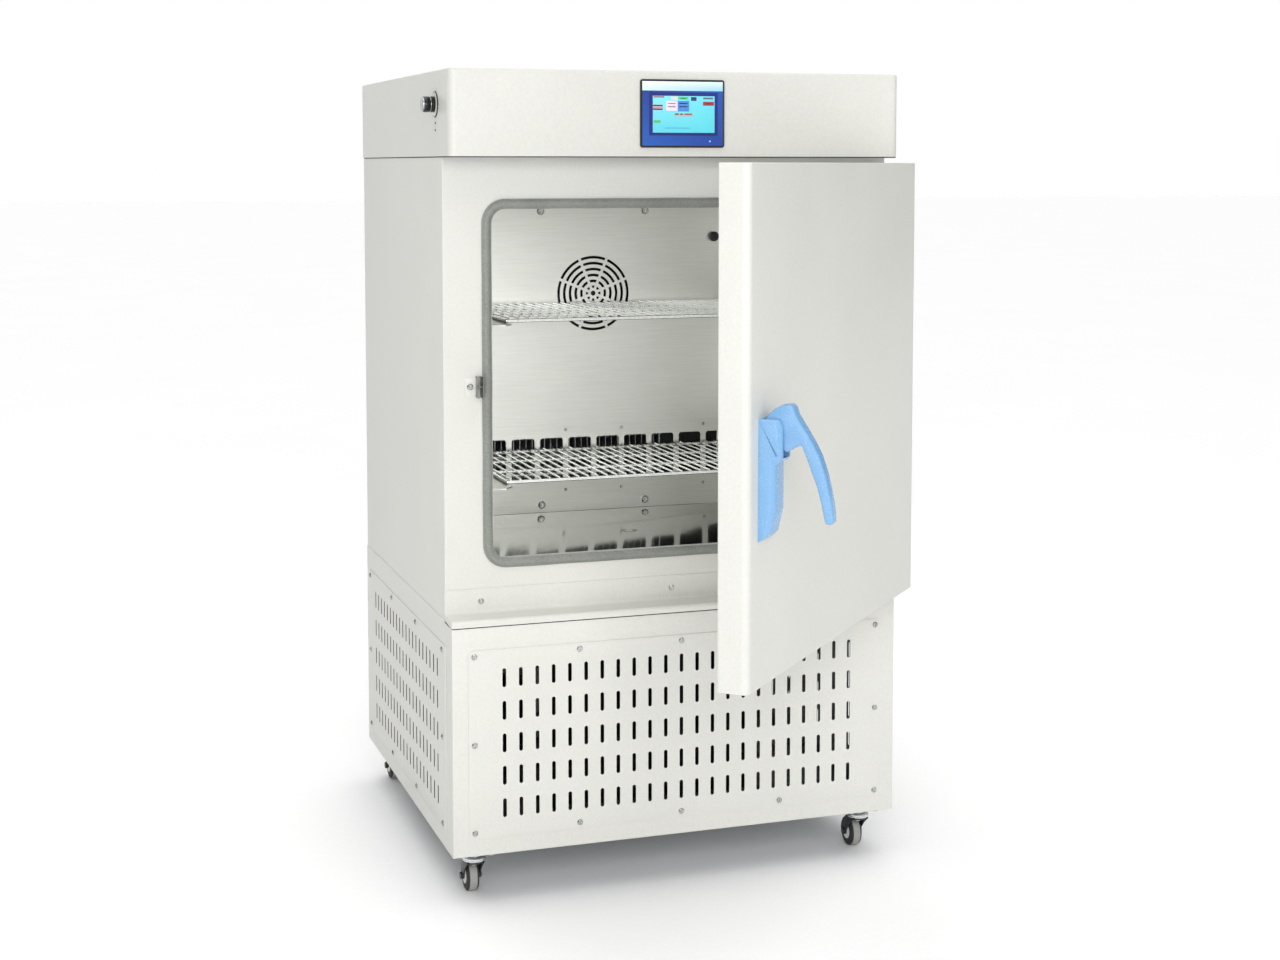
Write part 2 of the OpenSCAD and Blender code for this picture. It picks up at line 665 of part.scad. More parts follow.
module latch_hook() color([0.7, 0.71, 0.72]) lift() swing()
  translate([latch_x - 2, hook_y, latch_z]) rotate([hook_lift, 0, 0])
    rotate([90, 0, 90]) difference() {
      union() {
        cylinder(h = 4, r = 6);
        linear_extrude(4) polygon([[-3, -4], [-3, 4], [3, 7], [18, 8], [29, 7], [32, 3],
          [31.5, -3.5], [27, -3.5], [26.3, 3.2], [17, 3.2], [9, -2.5], [3, -4.5]]);
      }
      translate([0, 0, -1]) cylinder(h = 6, r = 2.5 + run_gap);
    }

// ---- Shelves ----

shelf_w = 252;
shelf_y = [mid_front + 87, duct_y - 15];
module wire_shelf(z) {
  for (y = [shelf_y[0], shelf_y[1]]) cyl_x([-shelf_w, shelf_w], y, z, 3);
  for (y = [shelf_y[0] + 108, shelf_y[1] - 108]) cyl_x([-shelf_w, shelf_w], y, z, 2.6);
  both() cyl_y(shelf_w, shelf_y, z, 3.2);
  for (x = [-shelf_w, shelf_w], y = shelf_y) translate([x, y, z]) sphere(3.2);
  n = floor((shelf_w - 6) / wire_pitch);
  for (i = [-n:n]) cyl_y(i * wire_pitch, [shelf_y[0] - 1, shelf_y[1] + 1], z + 3.7, 1.6);
}
module upper_shelf() color([0.78, 0.79, 0.79]) lift() wire_shelf(shelf_hi);
module lower_shelf() color([0.78, 0.79, 0.79]) lift() wire_shelf(shelf_lo);

// ---- Fans ----

module fan_rotor() color([0.2, 0.2, 0.21]) lift() translate([0, 0, fan_z])
  propeller([fan_y, fan_y + 18], 14, 64, 34, 5, 30, 3 + run_gap);

module condenser_fan() color([0.2, 0.2, 0.21]) lift() translate([cond_fan[0], 0, cond_fan[1]])
  propeller([front + 134, front + 160], 22, 92, 46, 5, 26, 3 + run_gap);

// ---- Castors ----

corners = [[-1, -1], [1, -1], [-1, 1], [1, 1]];
axle_z = wheel_d / 2;
module at_corner(i) translate([corners[i][0] * castor_x, corners[i][1] * castor_y, 0])
  children();

module castor_plates() color([0.7, 0.71, 0.72]) for (i = [0:3]) at_corner(i) {
  translate([0, 0, castor_h - 3]) linear_extrude(3) rrect(60, 60, 6);
  cyl_z(0, 0, [ring_z, castor_h - 2], 13);
  cyl_z(0, 0, [ring_z - 16, ring_z + 1], king_d / 2);
  for (x = [-22, 22], y = [-22, 22]) translate([x, y, castor_h - 6.5])
    cylinder(h = 4, r = 6, $fn = 6);
}

module fork_side() polygon([[-17, ring_z - 8.5], [17, ring_z - 8.5], [trail + 9, 34],
  [trail + 10, 24], [trail + 5, 17], [trail - 5, 17], [trail - 10, 24], [-2, 42]]);
module fork() {
  difference() {
    union() {
      cyl_z(0, 0, [ring_z - 8.5, ring_z - 0.5], 18.5);
      cyl_z(0, 0, [ring_z - 11.5, ring_z - 8], 16.5);
      both() on_side(wheel_w / 2 + 2, 2.5) fork_side();
      box([-wheel_w / 2 - 3, wheel_w / 2 + 3], [-15, 15], [ring_z - 11.5, ring_z - 8.5]);
    }
    cyl_z(0, 0, [ring_z - 30, ring_z + 1], king_d / 2 + run_gap);
  }
  cyl_x([-wheel_w / 2 - 6, wheel_w / 2 + 6], trail, axle_z, axle_d / 2);
  both() translate([wheel_w / 2 + 4.5, trail, axle_z]) rotate([0, 90, 0])
    cylinder(h = 4, r = 6.5, $fn = 6);
}
module fork_fl() color([0.12, 0.12, 0.12]) at_corner(0) fork();
module fork_fr() color([0.12, 0.12, 0.12]) at_corner(1) fork();
module fork_rl() color([0.12, 0.12, 0.12]) at_corner(2) fork();
module fork_rr() color([0.12, 0.12, 0.12]) at_corner(3) fork();

// Tread, web and hub as one moulding; the bore runs on the axle
module wheel() translate([0, trail, axle_z]) rotate([0, 90, 0]) rotate_extrude() {
  r = wheel_d / 2;
  w = wheel_w / 2;
  polygon([[axle_d / 2 + run_gap, -w - 1], [11, -w - 1], [11, -w + 3], [r - 7, -w + 3],
    [r - 6, -w], [r - 2.5, -w], [r, -w + 3], [r, w - 3], [r - 2.5, w], [r - 6, w],
    [r - 7, w - 3], [11, w - 3], [11, w + 1], [axle_d / 2 + run_gap, w + 1]]);
}
module wheel_fl() color([0.5, 0.5, 0.5]) at_corner(0) wheel();
module wheel_fr() color([0.5, 0.5, 0.5]) at_corner(1) wheel();
module wheel_rl() color([0.5, 0.5, 0.5]) at_corner(2) wheel();
module wheel_rr() color([0.5, 0.5, 0.5]) at_corner(3) wheel();

base_pan();
lower_shell();
front_vent_panel();
side_vent_panels();
rear_panel();
panel_screws();
sill();
frame_screws();
mid_shell();
front_frame();
chamber_liner();
insulation();
chamber_drain();
door_gasket();
striker();
duct_panel();
return_grille();
duct_screws();
fan_motor();
evaporator();
heater();
shelf_rails();
temperature_probe();
hood_shell();
hood_floor();
display_bezel();
display_screen();
control_board();
power_supply();
switch_collar();
compressor();
compressor_mounts();
condenser_coil();
condenser_shroud();
condenser_motor();
refrigerant_lines();
mains_inlet();
cabinet_hinges();
castor_plates();
door_skin();
door_liner();
door_foam();
door_hinges();
handle_base();
lever();
latch_hook();
upper_shelf();
lower_shelf();
fan_rotor();
condenser_fan();
switch_knob();
fork_fl();
fork_fr();
fork_rl();
fork_rr();
wheel_fl();
wheel_fr();
wheel_rl();
wheel_rr();
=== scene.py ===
# %% [markdown]
# # A laboratory incubator with its door open
# The real object is a tall box of painted steel sheet. A cooling unit sits in the base, a
# stainless chamber with two wire shelves sits in the middle, and a hood on top holds the
# touch display. One thick insulated door hangs on two outside hinges. The exact solids are
# loaded first as a fixed frame. This lesson gives each of them its finish, and models again
# the pieces whose soft edges and small shapes carry the looks.

# %% Load the frame
import json
import math
import bmesh
import bpy
from mathutils import Matrix, Vector


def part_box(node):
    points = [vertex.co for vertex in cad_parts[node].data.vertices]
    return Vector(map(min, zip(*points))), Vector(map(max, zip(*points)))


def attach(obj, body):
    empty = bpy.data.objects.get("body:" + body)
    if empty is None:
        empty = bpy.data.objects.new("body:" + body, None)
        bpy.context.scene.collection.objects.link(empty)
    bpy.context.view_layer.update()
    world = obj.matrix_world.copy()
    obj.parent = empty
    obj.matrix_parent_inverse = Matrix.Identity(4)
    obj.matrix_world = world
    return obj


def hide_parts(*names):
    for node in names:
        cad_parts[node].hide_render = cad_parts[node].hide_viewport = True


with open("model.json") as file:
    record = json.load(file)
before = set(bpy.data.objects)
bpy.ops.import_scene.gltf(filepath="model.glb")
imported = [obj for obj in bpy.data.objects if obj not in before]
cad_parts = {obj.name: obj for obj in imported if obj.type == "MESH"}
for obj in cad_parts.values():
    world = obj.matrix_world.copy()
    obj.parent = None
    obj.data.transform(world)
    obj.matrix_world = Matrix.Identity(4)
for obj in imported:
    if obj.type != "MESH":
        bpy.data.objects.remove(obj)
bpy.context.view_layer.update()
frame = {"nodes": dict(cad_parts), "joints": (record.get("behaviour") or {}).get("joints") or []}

joints = {joint["name"]: joint for joint in frame["joints"]}
MM = 0.001

# %% [markdown]
# ## Camera
# Something this tall looks most natural from about chest height through a mild telephoto
# lens. Tipping the camera down to see the castors would make the upright edges converge,
# so it is hardly tipped, and a shifted lens does the rest, as on an architect's camera.

# %% Camera
camera_data = bpy.data.cameras.new("studio_camera")
camera_data.sensor_width = 36
camera_data.lens = 55.4
camera_data.shift_y = -0.13
camera_data.clip_start = 0.05
camera_data.clip_end = 200
camera = bpy.data.objects.new("studio_camera", camera_data)
camera.location = (-1.0586, -3.2945, 1.1601)
camera.rotation_euler = (math.radians(90 - 4.304), 0, math.radians(-18.557))
bpy.context.scene.collection.objects.link(camera)
bpy.context.scene.camera = camera
bpy.context.scene.view_settings.view_transform = "Standard"
print("camera", camera_data.lens, "mm at", [round(v, 2) for v in camera.location])

# %% [markdown]
# ## Colours and nodes
# Paint and plastic colours are given as screen (sRGB) hex values, while shaders
# count in linear light, so one function converts them. A second function adds a shader
# node, sets it and links it in one line. Every finish below is built with these two.

# %% Colours and nodes
def tone(text):
    """An sRGB hex colour as linear red, green, blue and alpha."""
    parts = [int(text[i:i + 2], 16) / 255 for i in (0, 2, 4)]
    return tuple(c / 12.92 if c <= 0.04045 else ((c + 0.055) / 1.055) ** 2.4
                 for c in parts) + (1.0,)


def add(tree, kind, sockets=None, **settings):
    """Adds a node. A socket, named or numbered, gets a value or another node's output."""
    made = tree.nodes.new(kind)
    for name, value in settings.items():
        setattr(made, name, value)
    for key, value in (sockets or {}).items():
        if isinstance(value, bpy.types.NodeSocket):
            tree.links.new(value, made.inputs[key])
        else:
            made.inputs[key].default_value = value
    return made


print("mid grey is", round(tone("808080")[0], 3), "in linear light")

# %% [markdown]
# ## One recipe for a worked surface
# Most finishes here share a build. A grain of a known size, stretched the way the surface
# was worked, moves the colour, the gloss and the height a little, and wider clouds stand
# for handling and uneven coating. One function makes that from real sizes in millimetres,
# and the few finishes that need a pattern of their own add it afterwards.

# %% Surface recipe
def surface(name, light, dark, rough, metal=0.0, grain=(1, 1, 1), size=2.0, peel=0.0,
            swing=0.05, clouds=120.0, fade=0.35, **more):
    """A finish between two tones. size and clouds are in mm, peel is the bump in mm.

    A small number in grain stretches the pattern along that axis, swing is how far the
    roughness moves, and fade is the clouds' share."""
    made = bpy.data.materials.new(name)
    made.use_nodes = True
    tree = made.node_tree
    shader = tree.nodes["Principled BSDF"]
    place = add(tree, "ShaderNodeTexCoord").outputs["Object"]
    worked = add(tree, "ShaderNodeMapping", {"Vector": place, "Scale": grain})
    fine = add(tree, "ShaderNodeTexNoise", {"Vector": worked.outputs[0],
               "Scale": 1 / (size * MM), "Detail": 2.0, "Roughness": 0.5})
    wide = add(tree, "ShaderNodeTexNoise", {"Vector": place,
               "Scale": 1 / (clouds * MM), "Detail": 2.0})
    mixed = add(tree, "ShaderNodeMix", {0: fade, 2: fine.outputs[0], 3: wide.outputs[0]})
    # Noise seldom leaves the middle of its range, so that part is stretched to full contrast.
    spread = add(tree, "ShaderNodeMapRange", {"Value": mixed.outputs[0],
                 "From Min": 0.36, "From Max": 0.64})
    colour = add(tree, "ShaderNodeMix", {0: spread.outputs[0], 6: tone(dark),
                 7: tone(light)}, data_type="RGBA")
    gloss = add(tree, "ShaderNodeMapRange", {"Value": mixed.outputs[0], "From Min": 0.3,
                "From Max": 0.7, "To Min": rough - swing, "To Max": rough + swing})
    tree.links.new(colour.outputs[2], shader.inputs["Base Color"])
    tree.links.new(gloss.outputs[0], shader.inputs["Roughness"])
    shader.inputs["Metallic"].default_value = metal
    if peel:
        bump = add(tree, "ShaderNodeBump", {"Height": fine.outputs[0],
                   "Strength": 1.0, "Distance": peel * MM})
        tree.links.new(bump.outputs[0], shader.inputs["Normal"])
    for key, value in more.items():
        shader.inputs[key.replace("_", " ")].default_value = value
    return made


print("surface recipe ready")

# %% [markdown]
# ## Painted and galvanised steel
# The cabinet is steel sheet with a baked powder coat. Powder melts into a skin that is
# never quite flat, the orange peel: soft bumps about 3 mm apart. It is drawn here at 4 mm,
# so that it still shows at arm's length, and it breaks up the highlights rather than
# colouring the paint. Unpainted inner sheet is galvanised and shows its zinc crystals.

# %% Painted and galvanised steel
# Baked powder: a satin off-white with broad highlights, faintly clouded.
powder_coat = surface("powder_coated_steel", "D8D8D2", "D1D1CB", 0.40, size=4.0, peel=0.09,
                      fade=0.5, swing=0.06, clouds=260)
# Hot-dipped zinc: crystals about 14 mm across, each a slightly different grey.
zinc_sheet = surface("galvanised_sheet", "BDC1C3", "A2A7AA", 0.46, 0.9, size=9, clouds=60)
web = zinc_sheet.node_tree
crystals = add(web, "ShaderNodeTexVoronoi", {"Scale": 1 / (14 * MM)})
web.links.new(add(web, "ShaderNodeTexCoord").outputs["Object"], crystals.inputs["Vector"])
flake = add(web, "ShaderNodeMix", {0: 0.25, 6: tone("AEB3B6"), 7: crystals.outputs["Color"]},
            data_type="RGBA", blend_type="OVERLAY")
web.links.new(flake.outputs[2], web.nodes["Principled BSDF"].inputs["Base Color"])
print("made", powder_coat.name, "and", zinc_sheet.name)

# %% [markdown]
# ## Stainless steel and plated hardware
# The chamber is stainless sheet with a fine rolled grain. The grain runs along the sheet,
# so it is a noise stretched about thirty times, and it widens reflections across itself.
# Shelves are drawn wire with a polished skin. Screws and hinges are zinc plated, brighter
# and a little blue.

# %% Stainless steel and plated hardware
# Rolled sheet: a mirror smeared across its grain. Real grain is about 0.2 mm wide, too fine
# to show, so it is drawn at 1.6 mm and stretched along the sheet.
chamber_steel = surface("rolled_stainless_sheet", "DADBD6", "D2D3CE", 0.36, 1.0,
                        grain=(0.03, 0.03, 1), size=1.6, peel=0.002, clouds=150)
# Drawn and electropolished rod: small sharp glints along each wire.
wire_steel = surface("polished_stainless_wire", "D9DAD8", "C9CBC9", 0.20, 1.0, size=5)
# Barrel-plated zinc: a little cloudy. On the screw heads the darker grey is a painted
# shade, spread in clouds across each head.
plated = surface("zinc_plated_steel", "CED1D3", "B3B7BA", 0.32, 1.0, size=6, peel=0.004)
shaded_screw_heads = surface("zinc_screws_painted_shade", "CFD0CE", "969896", 0.27, 1.0, size=3)
# Brushed and nickel plated: a wide soft glint. Its 0.1 mm brushing is drawn at 1.5 mm.
nickel = surface("satin_nickel", "B4B8BB", "A0A4A8", 0.30, 1.0, size=1.5, swing=0.08)
# Polished, then chrome plated: nearly a mirror.
chrome = surface("bright_chrome", "DDDFE0", "D2D4D6", 0.10, 1.0, size=8)
# Drawn copper tube, left bare: warm, with browner patches where it has tarnished.
copper = surface("drawn_copper_tube", "CC8D68", "AB6A4B", 0.30, 1.0, size=7)
print("metals:", chamber_steel.name, wire_steel.name, plated.name, chrome.name)

# %% [markdown]
# ## Plastics, rubber and enamel
# Moulded ABS copies the fine spark-eroded texture of its mould, so it has a tight even
# grain and a broad sheen. Silicone seals are softer in gloss and pick up dust. Black
# enamel on the compressor is thick and shiny.

# %% Plastics, rubber and enamel
# Moulded ABS: an even sheen. Its mould texture is about 0.2 mm, drawn here at 1.5 to 1.8 mm.
blue_abs = surface("moulded_blue_abs", "7EABD4", "75A2CD", 0.26, size=1.8, peel=0.012,
                   clouds=40)
black_abs = surface("moulded_black_abs", "161718", "0E0F10", 0.38, size=1.5, peel=0.02)
# Extruded silicone: dull, and dusty in patches.
seal_rubber = surface("silicone_seal", "8B8D88", "7A7C76", 0.46, size=3, peel=0.03,
                      clouds=50, swing=0.1)
# Moulded rubber: the tread is grey and scuffed, the shoulders black and matt.
tyre_rubber = surface("grey_tyre_rubber", "A3A39F", "8E8E8A", 0.62, size=2, peel=0.03)
dark_rubber = surface("black_moulded_rubber", "2E2E30", "222224", 0.68, size=2, peel=0.03)
# Moulded nylon: pale and waxy.
hub_nylon = surface("grey_nylon_hub", "E8E8E4", "D8D8D2", 0.5, size=2)
# Dipped enamel is thick and glossy; stove paint on a pressing is thinner and semi-gloss.
black_enamel = surface("black_enamel", "1E1E20", "131315", 0.28, size=6, peel=0.02)
fork_paint = surface("black_painted_pressing", "242527", "18191A", 0.36, size=3, peel=0.03)
# Rigid foam, cut: matt, with open cells 2 to 3 mm across.
foam = surface("polyurethane_foam", "E9DBAE", "D6C48F", 0.9, size=2.5, peel=0.3)
print("plastics and rubbers made")

# %% [markdown]
# ## Inner workings
# Little of the cooling unit shows, only what the slots and an opened panel would give
# away. Fin stock is thin aluminium, the condenser's is painted black, the heater's sheath
# is heat-tinted steel, and the boards are green glass laminate with copper tracks.

# %% Inner workings
# Rolled fins seen edge on, bright on the evaporator and dipped black on the condenser.
fin_stock = surface("aluminium_fin_stock", "D2D4D5", "B0B3B5", 0.4, 1.0, size=2.5)
black_fins = surface("black_condenser_fins", "45474A", "303234", 0.5, 0.5, size=3)
# Steel heated in air: straw and brown temper colours.
tinted_steel = surface("heat_tinted_sheath", "937F6C", "6B5747", 0.42, 0.9, size=5)
# Etched laminate: green lacquer over a net of tracks, one every 9 mm.
laminate = surface("green_circuit_laminate", "1F7048", "155236", 0.35, size=3)
web = laminate.node_tree
tracks = add(web, "ShaderNodeTexBrick", {"Scale": 1 / (9 * MM), "Mortar Size": 0.06,
             "Color1": tone("1F7048"), "Color2": tone("1B6540"), "Mortar": tone("3F9A66")})
web.links.new(add(web, "ShaderNodeTexCoord").outputs["Object"], tracks.inputs["Vector"])
web.links.new(tracks.outputs["Color"], web.nodes["Principled BSDF"].inputs["Base Color"])
print("inner finishes made")

# %% [markdown]
# ## Finishes on the frame's own nodes
# Every node arrives with one material named after its slot. Each slot is given its
# finish here, on the object, so no mesh is touched. Pieces modelled later replace some of
# these nodes, and take the same finishes.

# %% Finishes on the frame's own nodes
finish_of = {
    "painted_steel": powder_coat, "galvanised_sheet": zinc_sheet,
    "stainless_steel": chamber_steel, "zinc_screws": shaded_screw_heads,
    "zinc_plated_steel": plated, "insulating_foam": foam, "seal_rubber": seal_rubber,
    "black_rubber": dark_rubber, "motor_black": black_enamel,
    "aluminium_fins": fin_stock, "condenser_fins": black_fins,
    "heater_sheath": tinted_steel, "black_plastic": black_abs, "screen_glass": black_abs,
    "circuit_board": laminate, "copper_tube": copper, "blue_plastic": blue_abs,
    "shelf_wire": wire_steel, "satin_cap": nickel, "black_fork": fork_paint,
    "castor_wheel": tyre_rubber,
}
slot_of = {}
for name, node in frame["nodes"].items():
    slot_of[name] = node.data.materials[0].name
    for place in node.material_slots:
        place.link = "OBJECT"
        place.material = finish_of[slot_of[name]]
print(len(slot_of), "nodes finished from", len(finish_of), "slots")

# %% [markdown]
# ## Studio
# White paper on the floor, a white room and three soft lamps. The room is a sky whose
# brightness depends on direction: brightest overhead, full behind the object, and dim at
# the sides, so the side walls turn darker than the front. Looked at directly it is white
# everywhere, as an evenly lit backdrop is.
# One softbox stands in front and a little to the left, and a narrow one further left draws
# a bright line down the rounded corners. A small fill panel, hidden from the camera, sits in
# the chamber's mouth and faces inwards, because bare steel only shows what it faces.

# %% Studio
# Matt paper with very faint wide clouds; it reaches past the far edge of the view.
studio_paper = surface("white_studio_paper", "FCFCFC", "F9F9F9", 0.9, size=9, clouds=900)
floor_bm = bmesh.new()
bmesh.ops.create_grid(floor_bm, x_segments=8, y_segments=8, size=60)
floor_mesh = bpy.data.meshes.new("studio_floor")
floor_bm.to_mesh(floor_mesh)
floor_bm.free()
floor_mesh.materials.append(studio_paper)
floor = bpy.data.objects.new("studio_floor", floor_mesh)
bpy.context.scene.collection.objects.link(floor)

world = bpy.data.worlds.new("white_room")
bpy.context.scene.world = world
world.use_nodes = True
sky = world.node_tree
sky.nodes["Background"].inputs["Color"].default_value = (1, 1, 1, 1)
axes = add(sky, "ShaderNodeSeparateXYZ",
           {"Vector": add(sky, "ShaderNodeTexCoord").outputs["Generated"]})
behind = add(sky, "ShaderNodeMapRange", {"Value": axes.outputs["Y"], "From Min": 0.5,
             "From Max": 0.8, "To Min": 0.04, "To Max": 1.0},
             interpolation_type="SMOOTHSTEP")
facing = add(sky, "ShaderNodeMapRange", {"Value": axes.outputs["Y"], "From Min": -0.3,
             "From Max": -0.75, "To Min": 0.0, "To Max": 0.5},
             interpolation_type="SMOOTHSTEP")
above = add(sky, "ShaderNodeMapRange", {"Value": axes.outputs["Z"], "From Min": 0.66,
            "From Max": 0.86, "To Min": 0.0, "To Max": 2.0},
            interpolation_type="SMOOTHSTEP")
around = add(sky, "ShaderNodeMath", {0: behind.outputs[0], 1: facing.outputs[0]},
             operation="ADD")
glow = add(sky, "ShaderNodeMath", {0: around.outputs[0], 1: above.outputs[0]},
           operation="MAXIMUM")
seen = add(sky, "ShaderNodeLightPath").outputs["Is Camera Ray"]
room = add(sky, "ShaderNodeMix", {0: seen, 2: glow.outputs[0], 3: 1.0})
sky.links.new(room.outputs[0], sky.nodes["Background"].inputs["Strength"])


def softbox(name, where, aim, width, height, power):
    """A rectangular area light, pointed at a spot."""
    data = bpy.data.lights.new(name, "AREA")
    data.shape, data.size, data.size_y, data.energy = "RECTANGLE", width, height, power
    lamp = bpy.data.objects.new(name, data)
    lamp.location = where
    lamp.rotation_euler = (Vector(aim) - Vector(where)).to_track_quat("-Z", "Y").to_euler()
    bpy.context.scene.collection.objects.link(lamp)
    print(name, power, "W")
    return lamp


softbox("front_softbox", (-0.9, -4.5, 1.9), (0, -0.2, 0.75), 2.2, 2.2, 86)
softbox("edge_softbox", (-3.0, -3.4, 1.4), (-0.3, -0.3, 0.8), 0.25, 2.2, 12)
mouth_low, mouth_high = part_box("chamber_liner")
room_middle = (mouth_low + mouth_high) / 2
fill = softbox("chamber_fill", (room_middle.x, mouth_low.y + 20 * MM, room_middle.z),
               (room_middle.x, mouth_high.y, room_middle.z), 0.54, 0.52, 0.5)
fill.visible_camera = False

# %% [markdown]
# ## From bmesh to finished piece
# Every new piece ends the same way. Its doubles are merged, its faces are turned outwards
# and shaded smooth, and edges sharper than the crease angle stay crisp. It then takes its
# finishes, rides on its body, and stands for the frame nodes that it replaces.

# %% From bmesh to finished piece
def piece(name, bm, body, finishes, stands_for=(), crease=35, turn=True):
    """Makes a bmesh a finished piece of the object."""
    bmesh.ops.remove_doubles(bm, verts=bm.verts, dist=0.01 * MM)
    if turn:
        bmesh.ops.recalc_face_normals(bm, faces=bm.faces)
    for face in bm.faces:
        face.smooth = True
    for edge in bm.edges:
        edge.smooth = edge.calc_face_angle(0) < math.radians(crease)
    mesh = bpy.data.meshes.new(name)
    bm.to_mesh(mesh)
    bm.free()
    for finish in finishes:
        mesh.materials.append(finish)
    made = bpy.data.objects.new(name, mesh)
    bpy.context.scene.collection.objects.link(made)
    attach(made, body)
    if stands_for:
        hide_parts(*stands_for)
    print(name, len(mesh.polygons), "faces on", body)
    return made


def block(bm, low, high):
    """A box between two corners, in metres; gives back its vertices."""
    made = bmesh.ops.create_cube(bm, size=1)["verts"]
    size = [b - a for a, b in zip(low, high)]
    bmesh.ops.scale(bm, vec=size, verts=made)
    bmesh.ops.translate(bm, vec=[(a + b) / 2 for a, b in zip(low, high)], verts=made)
    return made


def soften(bm, edges, width, segments=2):
    """Rounds edges over with the bevel settings used everywhere here."""
    return bmesh.ops.bevel(bm, geom=list(edges), offset=width * MM, segments=segments,
                           profile=0.5, affect="EDGES", material=-1, clamp_overlap=True)


# %% [markdown]
# ## Folded sheet: hood, wrap and base
# Sheet steel folded on a press brake never has a knife edge: the outer radius is about
# the bend radius plus the sheet. Each shell could be built again from planes, but its
# exact solid is already right, so a copy of its mesh is merged, its flat faces joined,
# and just its outer folds are rounded. Those small radii catch a thin bright line.

# %% Folded sheet
def folded(node, width, wanted, segments=3, body="cabinet", walls=None, wall_shade=None):
    """A copy of a node with the wanted sharp edges rounded; wanted looks at an edge's ends.

    walls picks the walls of punched slots, which are coloured nearly black as a painted shade."""
    bm = bmesh.new()
    bm.from_mesh(frame["nodes"][node].data)
    bmesh.ops.remove_doubles(bm, verts=bm.verts, dist=0.02 * MM)
    bmesh.ops.dissolve_limit(bm, angle_limit=math.radians(0.6), verts=bm.verts,
                             edges=bm.edges)
    sharp = [e for e in bm.edges if e.calc_face_angle(0) > math.radians(40)
             and wanted(*(v.co for v in e.verts))]
    soften(bm, sharp, width, segments)
    if walls:
        for face in bm.faces:
            if walls(face.normal, face.calc_center_median()):
                face.material_index = 1
    return piece(node + "_folded", bm, body, [powder_coat] + ([wall_shade] if walls else []),
                 (node,), turn=False)


def near(value, target, within=0.3):
    """Whether two lengths agree within some tenths of a millimetre."""
    return abs(value - target) < within * MM


hood_low, hood_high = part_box("hood_shell")
folded("hood_shell", 3.0,
       lambda a, b: near(a.z, hood_high.z) and near(b.z, hood_high.z))
base_low, base_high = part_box("lower_shell")
folded("lower_shell", 3.5,
       lambda a, b: near(abs(a.x), base_high.x) and near(abs(b.x), base_high.x)
       and near(a.y, b.y) and (near(a.y, base_low.y) or near(a.y, base_high.y)))
wrap_low, wrap_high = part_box("mid_shell")
folded("mid_shell", 1.4,
       lambda a, b: near(abs(a.x), wrap_high.x) and near(a.x, b.x) and near(a.y, b.y)
       and (near(a.y, wrap_low.y) or near(a.y, wrap_high.y)))

# %% [markdown]
# ## Ledge
# A ledge strip closes the step between the base and the narrower front above it. It could
# be folded like the shells, but its rolled nose is rounder than a fold. Its side view, a
# riser, a small inside radius, a flat top and the nose, is drawn once and pulled along the
# whole length, so its ends are closed.

# %% Ledge
sill_low, sill_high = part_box("sill")
sheet, inside_radius, nose_radius = 1.5 * MM, 6 * MM, 5 * MM
side_line = [(sill_high.y, sill_high.z), (sill_high.y - sheet, sill_high.z)]
for step in range(5):
    angle = math.radians(90 * step / 4)
    side_line.append((sill_high.y - sheet - inside_radius * (1 - math.cos(angle)),
                      sill_low.z + 12 * MM + inside_radius * (1 - math.sin(angle))))
for step in range(6):
    angle = math.radians(110 * step / 5)
    side_line.append((sill_low.y + nose_radius * (1 - math.sin(angle)),
                      sill_low.z + 7 * MM + nose_radius * math.cos(angle)))
side_line += [(sill_low.y + 0.4 * MM, sill_low.z + 1 * MM),
              (sill_low.y + 4 * MM, sill_low.z + 1 * MM),
              (sill_high.y, sill_low.z + 4.5 * MM)]
bm = bmesh.new()
profile = bm.faces.new([bm.verts.new((sill_low.x, y, z)) for y, z in side_line])
pulled = bmesh.ops.extrude_face_region(bm, geom=[profile])["geom"]
bmesh.ops.translate(bm, vec=(sill_high.x - sill_low.x, 0, 0),
                    verts=[g for g in pulled if isinstance(g, bmesh.types.BMVert)])
bmesh.ops.recalc_face_normals(bm, faces=bm.faces)
soften(bm, [e for e in bm.edges if near(e.verts[0].co.x, e.verts[1].co.x)
            and max(v.co.y for v in e.verts) < sill_low.y + 8 * MM
            and max(v.co.z for v in e.verts) > sill_low.z + 1.5 * MM], 2, 2)
piece("sill_strip", bm, "cabinet", [powder_coat], ("sill",), crease=22)

# %% [markdown]
# ## Dark seams
# Under the hood and along the ledge, the seams between the painted shells lie in shadow and
# show as a thin dark line. That shade is painted on near-black strips of their own. A dark
# stripe painted on the shells would slide off the real gap, so each strip is a closed loop
# of its own, just behind the shells' outlines.

# %% Dark seams
# Painted shade for the seams: matt, near black, with a fine grain under a millimetre.
seam_shade = surface("seam_painted_shade", "2A2A2A", "1C1C1C", 0.8, size=0.8, peel=0.05)


def shade_loop(name, low, high, corner, depth=3):
    """A closed loop of painted seam shade, its outside between two corners, depth mm from front to
    back.
    """
    bm = bmesh.new()
    block(bm, low, high)
    soften(bm, [e for e in bm.edges if abs(e.verts[0].co.z - e.verts[1].co.z) > 0.5 * MM],
           corner, 5)
    flats = [f for f in bm.faces if abs(f.normal.z) > 0.9]
    bmesh.ops.delete(bm, geom=flats, context="FACES_ONLY")
    bmesh.ops.recalc_face_normals(bm, faces=bm.faces)
    bmesh.ops.solidify(bm, geom=bm.faces[:], thickness=depth * MM)
    piece(name, bm, "cabinet", [seam_shade])


inset = 0.4 * MM  # how far the hood's strip stays behind its outline
shade_loop("hood_seam_shade", (hood_low.x + inset, hood_low.y + inset, hood_low.z - 1.6 * MM),
           (hood_high.x - inset, hood_high.y - inset, hood_low.z), 11.6)
shade_loop("ledge_seam_shade", (sill_low.x + 0.6 * MM, sill_low.y + 0.6 * MM,
           sill_low.z - 0.5 * MM), (sill_high.x - 0.6 * MM, sill_low.y + 9 * MM,
           sill_low.z + 1 * MM), 2, 1)
